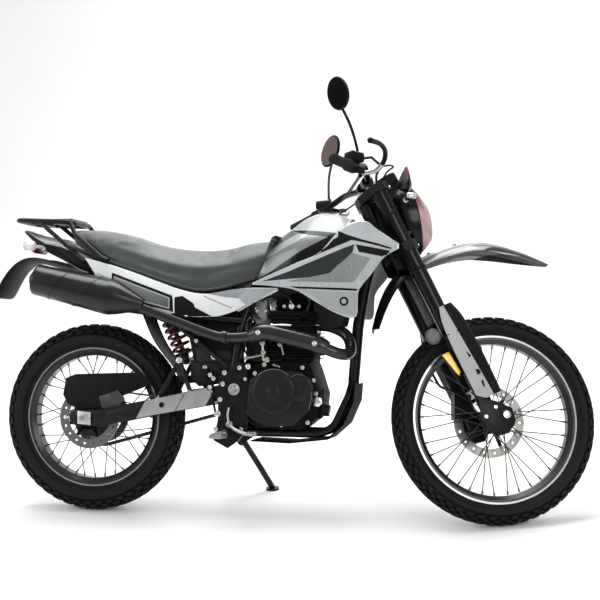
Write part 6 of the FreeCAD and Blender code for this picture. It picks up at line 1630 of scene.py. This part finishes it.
# ------------------------------------------------------------------ swingarm with bright side plates
def arm_finish():
    """Black arm whose forward outer plate is bare silver between two slanting lines."""
    m = Mat("arm_finish")
    x = m.xyz(m.coords("chassis"))
    out = m.span(m.math("ABSOLUTE", x["Y"]), .108, .1085, 0, 1)
    u = m.math("ADD", x["X"], m.math("MULTIPLY", x["Z"], -.55))
    a = m.math("MULTIPLY", m.span(u, -.6925, -.6915, 0, 1), m.span(u, -.474, -.473, 1, 0))
    k = m.math("MULTIPLY", out, a)
    seam = m.math("MULTIPLY", m.span(u, -.571, -.5705, 0, 1), m.span(u, -.5675, -.567, 1, 0))
    n = m.noise(24, 4)
    silver = m.mix(seam, m.ramp(n, [(.3, (.27, .275, .275)), (.7, (.34, .345, .345))]), (.06, .06, .06))
    m.link(m.mix(k, m.ramp(n, [(.3, (.0035, .0035, .004)), (.7, (.0055, .0055, .006))]), silver), m.b.inputs["Base Color"])
    m.link(m.span(m.noise(40, 5), .3, .7, .30, .44), m.b.inputs["Roughness"])
    m.link(m.math("MULTIPLY", k, .5), m.b.inputs["Metallic"])
    m.b.inputs["Specular IOR Level"].default_value = .2
    m.bump(m.noise(900, 3), .1, .0005, .0008)
    return m.m


sw = Build()
ab = Build()
arm_out = [(-240, 444), (-459, 396), (-640, 356), (-752, 350), (-752, 302), (-640, 298), (-459, 338), (-240, 380)]
sw.extrude([(-146, 452), (-186, 458), (-268, 436), (-268, 384), (-190, 412), (-146, 418)], -84, -100, 0, 2)
sw.extrude(arm_out, -96, -108.6, 0, 3)
sw.extrude([(-300, 424), (-459, 388), (-620, 350), (-620, 312), (-459, 346), (-300, 386)], -108, -110.6, 0, 1.2)
sw.lathe([(0, 15), (22, 15)], (-696, -97, 326), (0, 1, 0), 26)
for a, b in (((-442, -103, 388), (-366, -84, 528)), ((-318, -103, 414), (-366, -84, 528))):
    sw.rod(a, b, 8, .6, 18)
sw.lathe([(0, 13), (1.5, 15), (5, 15), (6.5, 13)], (-366, -92, 528), (0, 1, 0), 24)
sw.mirrored()
sw.block((-297, 0, 404), (62, 192, 54), r=7)
sw.rod((-165, -100, 435), (-165, 100, 435), 19, 1, 30)
sw.rod((-366, -90, 528), (-366, 90, 528), 9, 1, 20)
sw.block((-230, -92, 415), (80, 14, 44), Matrix.Rotation(rad(-12), 3, "Y"), 4)
sw.block((-230, 92, 415), (80, 14, 44), Matrix.Rotation(rad(-12), 3, "Y"), 4)
sw.object("swingarm_body", "chassis", arm_finish(), 38, replaces="swingarm")
sb = Build()
for s_ in (-1, 1):
    sb.lathe([(0, 8), (.6, 9), (1.4, 9), (1.6, 7), (-.2, 6.4)], (-420, s_ * 110.8, 377), (0, s_, 0), 24)
sb.object("swingarm_holes", "chassis", BLACK_SATIN, 36)
ax = Build()
for s_ in (-1, 1):
    y0 = s_ * 110.8
    ax.extrude([(-721, 350), (-673, 346), (-673, 302), (-721, 306)], y0, s_ * 116.5, 0, 1.6)
    ax.lathe([(0, 13), (2, 14), (9, 14), (11, 12), (11.4, 4)], (-696, s_ * 116, 326), (0, s_, 0), 6)
    ax.rod((-752, s_ * 104, 326), (-776, s_ * 104, 326), 4.5)
    ax.lathe([(0, 7.5), (6, 7.5)], (-766, s_ * 104, 326), (-1, 0, 0), 6)
ax.object("axle_plates", "chassis", plain("axle_plate", (.52, .53, .53), .30, .6, 0, .1, 20, 900, .12, .1, .0006), 34)

# ------------------------------------------------------------------ rear brake
rc_ = Build()
rc_.block((-612, -82, 398), (62, 18, 72), Matrix.Rotation(rad(14), 3, "Y"), 7)
rc_.block((-612, -52, 398), (54, 10, 60), Matrix.Rotation(rad(14), 3, "Y"), 4)
rc_.block((-612, -66, 430), (44, 34, 12), Matrix.Rotation(rad(14), 3, "Y"), 4)
rc_.lathe([(0, 21), (3, 22), (10, 20), (12, 15), (13, 5)], (-606, -88, 392), (0, -1, 0), 34)
rc_.extrude([(-652, 400), (-582, 424), (-556, 394), (-600, 350), (-640, 362)], -92, -97, 0, 1.4)
rc_.extrude([(-785, 404), (-775, 462), (-739, 476), (-506, 486), (-462, 446), (-569, 402), (-583, 365), (-663, 346), (-721, 352), (-766, 371)], -89.5, -92, 1, 1)
rc_.tube([(-584, -86, 402), (-560, -88, 414), (-500, -90, 410), (-420, -92, 404), (-330, -92, 410), (-260, -104, 432)], 3.4, 10, 8)
rc_.object("rear_caliper_body", "chassis", [plain("caliper_grey", (.042, .045, .047), .40, .3, 0, .2, 20, 800, .3, .1, .001, spec=.3), BLACK_PLASTIC], 38, replaces="rear_caliper")
mc = Build()
mc.block((-250, -104, 460), (22, 14, 62), r=4)
mc.lathe([(0, 12), (2, 14), (26, 14), (28, 12), (29, 4)], (-268, -104, 476), (0, 0, 1), 24)
mc.tube([(-268, -104, 478), (-262, -102, 466), (-256, -104, 460)], 4, 10, 8)
mc.rod((-248, -104, 430), (-228, -112, 350), 4)
mc.object("brake_cylinder", "chassis", BLACK_SATIN, 38)
mcb = Build()
for x_, z_ in ((-250, 482), (-250, 440), (-238, 470), (-268, 506), (-228, 352)):
    mcb.bolt((x_, -112, z_), (0, -1, 0), 5.5, 4)
mcb.object("brake_cylinder_bolts", "chassis", BOLT, 36)

CHAIN_Y = 70
# ------------------------------------------------------------------ chain with plates and rollers
def chain_build():
    b = Build()
    fs, rc = Vector((-96, 0, 432)), Vector((-696, 0, 326))
    a_, b_ = 34 + 7.5, 97.5 + 7.5
    d = fs - rc
    L = d.length
    base = math.atan2(d.z, d.x)
    off = math.acos((b_ - a_) / L)
    pts = []
    tb = [(base + off), (base - off)]
    P = lambda c, r, t: Vector((c.x + r * cos(t), 0, c.z + r * sin(t)))
    path = []
    n1 = 60
    p0, p1 = P(rc, b_, tb[0]), P(fs, a_, tb[0])
    path += [p0.lerp(p1, k / n1) for k in range(n1)]
    path += [P(fs, a_, tb[0] + (tb[1] - tb[0]) * k / 16) for k in range(16)]
    p2, p3 = P(fs, a_, tb[1]), P(rc, b_, tb[1])
    path += [p2.lerp(p3, k / n1) for k in range(n1)]
    span = 2 * pi - 2 * off
    path += [P(rc, b_, tb[1] - span * k / 40) for k in range(40)]
    seg = [0]
    for p, q in zip(path, path[1:] + path[:1]):
        seg.append(seg[-1] + (q - p).length)
    total = seg[-1]
    n = 2 * round(total / 15.875 / 2)

    def at(s):
        s %= total
        i = max(k for k in range(len(path)) if seg[k] <= s)
        p, q = path[i], path[(i + 1) % len(path)]
        return p.lerp(q, (s - seg[i]) / max(1e-6, seg[i + 1] - seg[i]))
    for k in range(n):
        p, q = at(total * k / n), at(total * (k + 1) / n)
        t = (q - p).normalized()
        up = Vector((-t.z, 0, t.x))
        c = (p + q) * .5
        h = (q - p).length / 2
        wide = k % 2
        prof = [(-h - 6, 0), (-h - 4.4, 4.6), (-h, 6.8), (0, 5.2), (h, 6.8), (h + 4.4, 4.6), (h + 6, 0)]
        prof += [(x, -z) for x, z in reversed(prof[1:-1])]
        for y0, y1 in (((-6.9, -5.5), (5.5, 6.9)) if wide else ((-5.3, -3.9), (3.9, 5.3))):
            rows = []
            for y, g in ((y0, .85), (y0 + .25, 1), (y1 - .25, 1), (y1, .85)):
                rows.append([c + t * (x * (g if abs(x) > h else 1)) + up * (z * g) + Vector((0, CHAIN_Y + y, 0)) for x, z in prof])
            b.grid(rows, 0, True, True)
        b.lathe([(-7, 2.4), (-6.8, 2.8), (6.8, 2.8), (7, 2.4)], Vector((p.x, CHAIN_Y, p.z)), (0, 1, 0), 8)
        b.lathe([(-3.6, 4.2), (3.6, 4.2)], Vector((p.x, CHAIN_Y, p.z)), (0, 1, 0), 8)
    return b


chain_build().object("chain_links", "chassis", plain("chain_steel", (.050, .048, .045), .40, .9, 0, .3, 40, 900, .2, .12, .0008), 34, replaces="chain")

# ------------------------------------------------------------------ shock absorber and spring
s0, s1 = Vector((-462, 0, 742)), Vector((-366, 0, 528))
su = (s1 - s0).normalized()
sa_ = Build()
sa_.lathe([(0, 12), (12, 14), (20, 18), (24, 20), (36, 20), (36, 33), (38, 35), (43, 35), (45, 33), (45, 20), (128, 20), (130, 17), (131, 9), (203, 9), (203, 32), (205, 35), (210, 35), (212, 32), (213, 16), (226, 12)], s0, su, 36)
for c in (s0, s1):
    sa_.lathe([(-16, 8), (-16, 13.5), (-14.5, 15), (14.5, 15), (16, 13.5), (16, 8)], c, (0, 1, 0), 30)
sa_.object("shock_body", "chassis", plain("shock_dark", (.020, .020, .022), .34, .7, 0, .2, 20, 900, .1, .1, .0008), 38, replaces="rear_shock")
e1 = Vector((0, 1, 0))
e2 = su.cross(e1)
sc_ = Build()
sc_.tube([s0 + su * (51 + 146 * k / 96) + e1 * (29 * cos(2 * pi * 6.08 * k / 96)) + e2 * (29 * sin(2 * pi * 6.08 * k / 96)) for k in range(97)], 5.6, 14, 2)
sc_.object("spring_coil", "chassis", plain("spring_deep_red", (.075, .002, .004), .34, 0, .15, .15, 12, 900, .06, .06, .0006), 60, replaces="shock_spring")
sbt = Build()
for c, r_ in ((s0, 8), (s1, 9)):
    for s_ in (-1, 1):
        sbt.bolt((c.x, s_ * (26 if c is s0 else 91), c.z), (0, s_, 0), r_, 5)
sbt.bolt((-436, -99, 706), (0, -1, 0), 6, 4)
sbt.bolt((-300, -112, 596), (0, -1, 0), 5, 3)
sbt.object("shock_bolts", "chassis", BOLT, 36)
bx = Build()
bx.extrude([(-312, 574), (-186, 562), (-180, 524), (-306, 524)], -60, -82.4, 0, 4)
bx.object("battery_box", "chassis", plain("box_dark", (.012, .012, .0125), .5, 0, 0, .2, 18, 1200, .3, .1, .0008, spec=.2), 36)
bxb = Build()
bxb.lathe([(0, 9), (1, 10), (4, 10), (5, 8), (5, 4.5), (3, 4)], (-245, -82, 543), (0, -1, 0), 24)
bxb.object("battery_box_bolt", "chassis", BOLT, 36)

# ------------------------------------------------------------------ footpegs and pedals
pg = Build()
pg.block((-196, -195, 283), (42, 82, 13), r=3)
for k in range(9):
    for dx_ in (-15, 0, 15):
        pg.block((-196 + dx_, -230 + k * 8.6, 290.5), (6, 4, 5), r=1)
pg.rod((-196, -112, 290), (-196, -156, 284), 11)
pg.block((-196, -148, 284), (30, 14, 22), r=3)
pg.mirrored()
pg.object("peg_treads", "chassis", plain("peg_steel", (.30, .30, .295), .36, .8, 0, .2, 22, 700, .25, .1, .001), 36, replaces="foot_pegs")
fc = Build()
fc.tube([(-176, -124, 318), (-162, -131, 306), (-148, -137, 299), (-110, -150, 289), (-84, -158, 288)], [7, 6.6, 6.2, 6, 6], 16, 8)
fc.block((-88, -161, 292), (34, 30, 9), r=2)
for k in range(3):
    fc.block((-98 + k * 10, -161, 297.5), (3.4, 26, 4), r=.8)
fc.lathe([(0, 9), (1, 11), (22, 11), (23, 9)], (-176, -109, 318), (0, -1, 0), 26)
fc.tube([(-120, 104, 326), (-110, 138, 322), (-60, 146, 316), (-4, 146, 318)], 5.6, 14, 8)
fc.lathe([(0, 7), (1, 8.4), (34, 8.4), (35, 7)], (-4, 141, 318), (0, 1, 0), 22)
fc.lathe([(0, 9), (1, 11), (16, 11), (17, 9)], (-120, 98, 326), (0, 1, 0), 26)
fc.object("pedals", "chassis", plain("pedal_steel", (.34, .34, .335), .32, .9, 0, .14, 22, 800, .15, .1, .0008), 38, replaces="foot_controls")
pdl = Build()
pdl.tube([(-176, -133, 322), (-180, -136, 352), (-176, -138, 376)], 4.5, 12, 6)
pdl.object("brake_pedal_arm", "chassis", STEEL, 40)

# ------------------------------------------------------------------ rear signals with pale housings and pale lenses; the pale housing colour is partly a painted highlight, matching their blown-out white look
PALE = plain("pale_moulding", (.62, .62, .62), .30, 0, .2, .05, 12, 700, .06, .05, .0006)
for side, nm in ((-1, "right"), (1, "left")):
    b = Build()
    c = Vector((-915, side * 150, 918))
    b.rod((-870, side * 64, 918), (-896, side * 138, 918), 5.5, 1, 16)
    b.lathe([(0, 8), (1, 9.5), (10, 9.5), (12, 6)], (-870, side * 66, 918), (-.3, side * .95, 0), 20)
    b.lathe([(0, 6), (2, 13), (6, 16.4), (14, 17), (26, 17), (27, 16)], c + Vector((42, 0, 0)), (-1, 0, 0), 34)
    b.object("rear_signal_" + nm, "chassis", PALE, 40)
    b = Build()
    b.lathe([(26.6, 15.4), (27, 16.6), (33, 16.4), (38, 14), (41.4, 8), (42, 1)], c + Vector((42, 0, 0)), (-1, 0, 0), 34)
    b.object("rear_signal_lens_" + nm, "chassis", CLEAR, 50)
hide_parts("rear_turn_signals")
for side, nm in ((-1, "right"), (1, "left")):
    b = Build()
    b.rod((374, side * 80, 1062), (380, side * 130, 1062), 5.5, 1, 16)
    c = Vector((380 - 36 * .45, side * 142, 1062))
    b.lathe([(0, 4), (2, 8.5), (6, 10.6), (12, 11), (22, 11), (23, 10)], c, (1, 0, 0), 30)
    b.lathe([(0, 8), (1, 10), (8, 10), (10, 6)], (374, side * 84, 1062), (.12, side, 0), 20)
    b.object("front_signal_" + nm, "steering", STEEL, 40)
    b = Build()
    b.lathe([(22.4, 9.6), (23, 10.8), (29, 10.4), (33, 8), (35.4, 4), (36, 1)], c, (1, 0, 0), 30)
    b.object("front_signal_lens_" + nm, "steering", CLEAR, 50)
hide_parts("front_turn_signals")

# ------------------------------------------------------------------ finishes for the CAD nodes that stay
SKID_BLACK = plain("skid_black", (.0028, .0028, .0032), .66, 0, 0, .18, 16, 1200, .2, .06, .0008, spec=.03)
FINISH = {
    "front_rim": RIM_F, "rear_rim": RIM_R, "front_hub": HUB_F, "rear_hub": HUB_R, "front_brake_disc": DISC_F, "rear_brake_disc": DISC_R,
    "rear_sprocket": DULL_STEEL, "front_axle": STEEL, "rear_axle": STEEL, "triple_clamps": CAST_BLACK, "fork_outer_tubes": BLACK_GLOSS,
    "fork_inner_tubes": BLACK_SATIN, "fork_guards": WHITE, "handlebar": BLACK_GLOSS, "grips": RUBBER, "hand_controls": BLACK_PLASTIC, "hand_levers": BLACK_SATIN,
    "mirrors": BLACK_SATIN, "instruments": BLACK_PLASTIC, "headlight_shell": BLACK_GLOSS, "headlight_lens": WHITE, "front_fender": WHITE,
    "front_turn_signals": BLACK_PLASTIC, "front_caliper": CAST_BLACK, "brake_hose": RUBBER, "main_frame": FRAME_BLACK, "cradle_tubes": FRAME_BLACK,
    "skid_plate": SKID_BLACK, "subframe": FRAME_BLACK, "crankcase": CAST_BLACK, "cylinder": CAST_BLACK, "carburettor": ALU, "exhaust_pipe": PIPE_BLACK,
    "muffler": PIPE_BLACK, "fuel_cap": BLACK_SATIN, "airbox": BLACK_PLASTIC, "tail_light": TAIL_RED, "rear_fender": BLACK_PLASTIC,
    "rear_turn_signals": BLACK_PLASTIC, "rear_rack": FRAME_BLACK, "swingarm": FRAME_BLACK, "chain": DARK_STEEL, "chain_guard": BLACK_PLASTIC,
    "rear_shock": DULL_STEEL, "shock_spring": RED, "rear_caliper": CAST_BLACK, "foot_pegs": DULL_STEEL, "foot_controls": DULL_STEEL,
    "side_stand": FRAME_BLACK, "stand_bracket": FRAME_BLACK}
for n, mt in FINISH.items():
    o = NODES.get(n)
    if o is None:
        continue
    if not o.material_slots:
        o.data.materials.append(mt)
    for s in o.material_slots:
        s.material = mt

# ------------------------------------------------------------------ floor
fm = Mat("pale_floor")
fm.link(fm.ramp(fm.noise(.8, 4), [(.3, (.80, .80, .80)), (.7, (.84, .84, .84))]), fm.b.inputs["Base Color"])
fm.link(fm.span(fm.noise(6, 4), .3, .7, .55, .7), fm.b.inputs["Roughness"])
fm.bump(fm.noise(300, 2), .03, .0005)
ft = fm.m.node_tree
geo, clear, both_ = ft.nodes.new("ShaderNodeNewGeometry"), ft.nodes.new("ShaderNodeBsdfTransparent"), ft.nodes.new("ShaderNodeMixShader")
ft.links.new(geo.outputs["Backfacing"], both_.inputs[0])
ft.links.new(fm.b.outputs[0], both_.inputs[1])
ft.links.new(clear.outputs[0], both_.inputs[2])
ft.links.new(both_.outputs[0], next(n for n in ft.nodes if n.type == "OUTPUT_MATERIAL").inputs["Surface"])
me = bpy.data.meshes.new("floor")
S_ = 9
cove = [(-S_, 0), (2.6, 0), (3.2, .08), (3.7, .35), (3.95, .8), (4.0, 1.4), (4.0, 6)]
me.from_pydata([(x, y, z) for y, z in cove for x in (-S_, S_)], [], [(2 * i, 2 * i + 1, 2 * i + 3, 2 * i + 2) for i in range(len(cove) - 1)])
me.materials.append(fm.m)
me.shade_smooth()
floor = bpy.data.objects.new("studio_floor", me)
scene.collection.objects.link(floor)
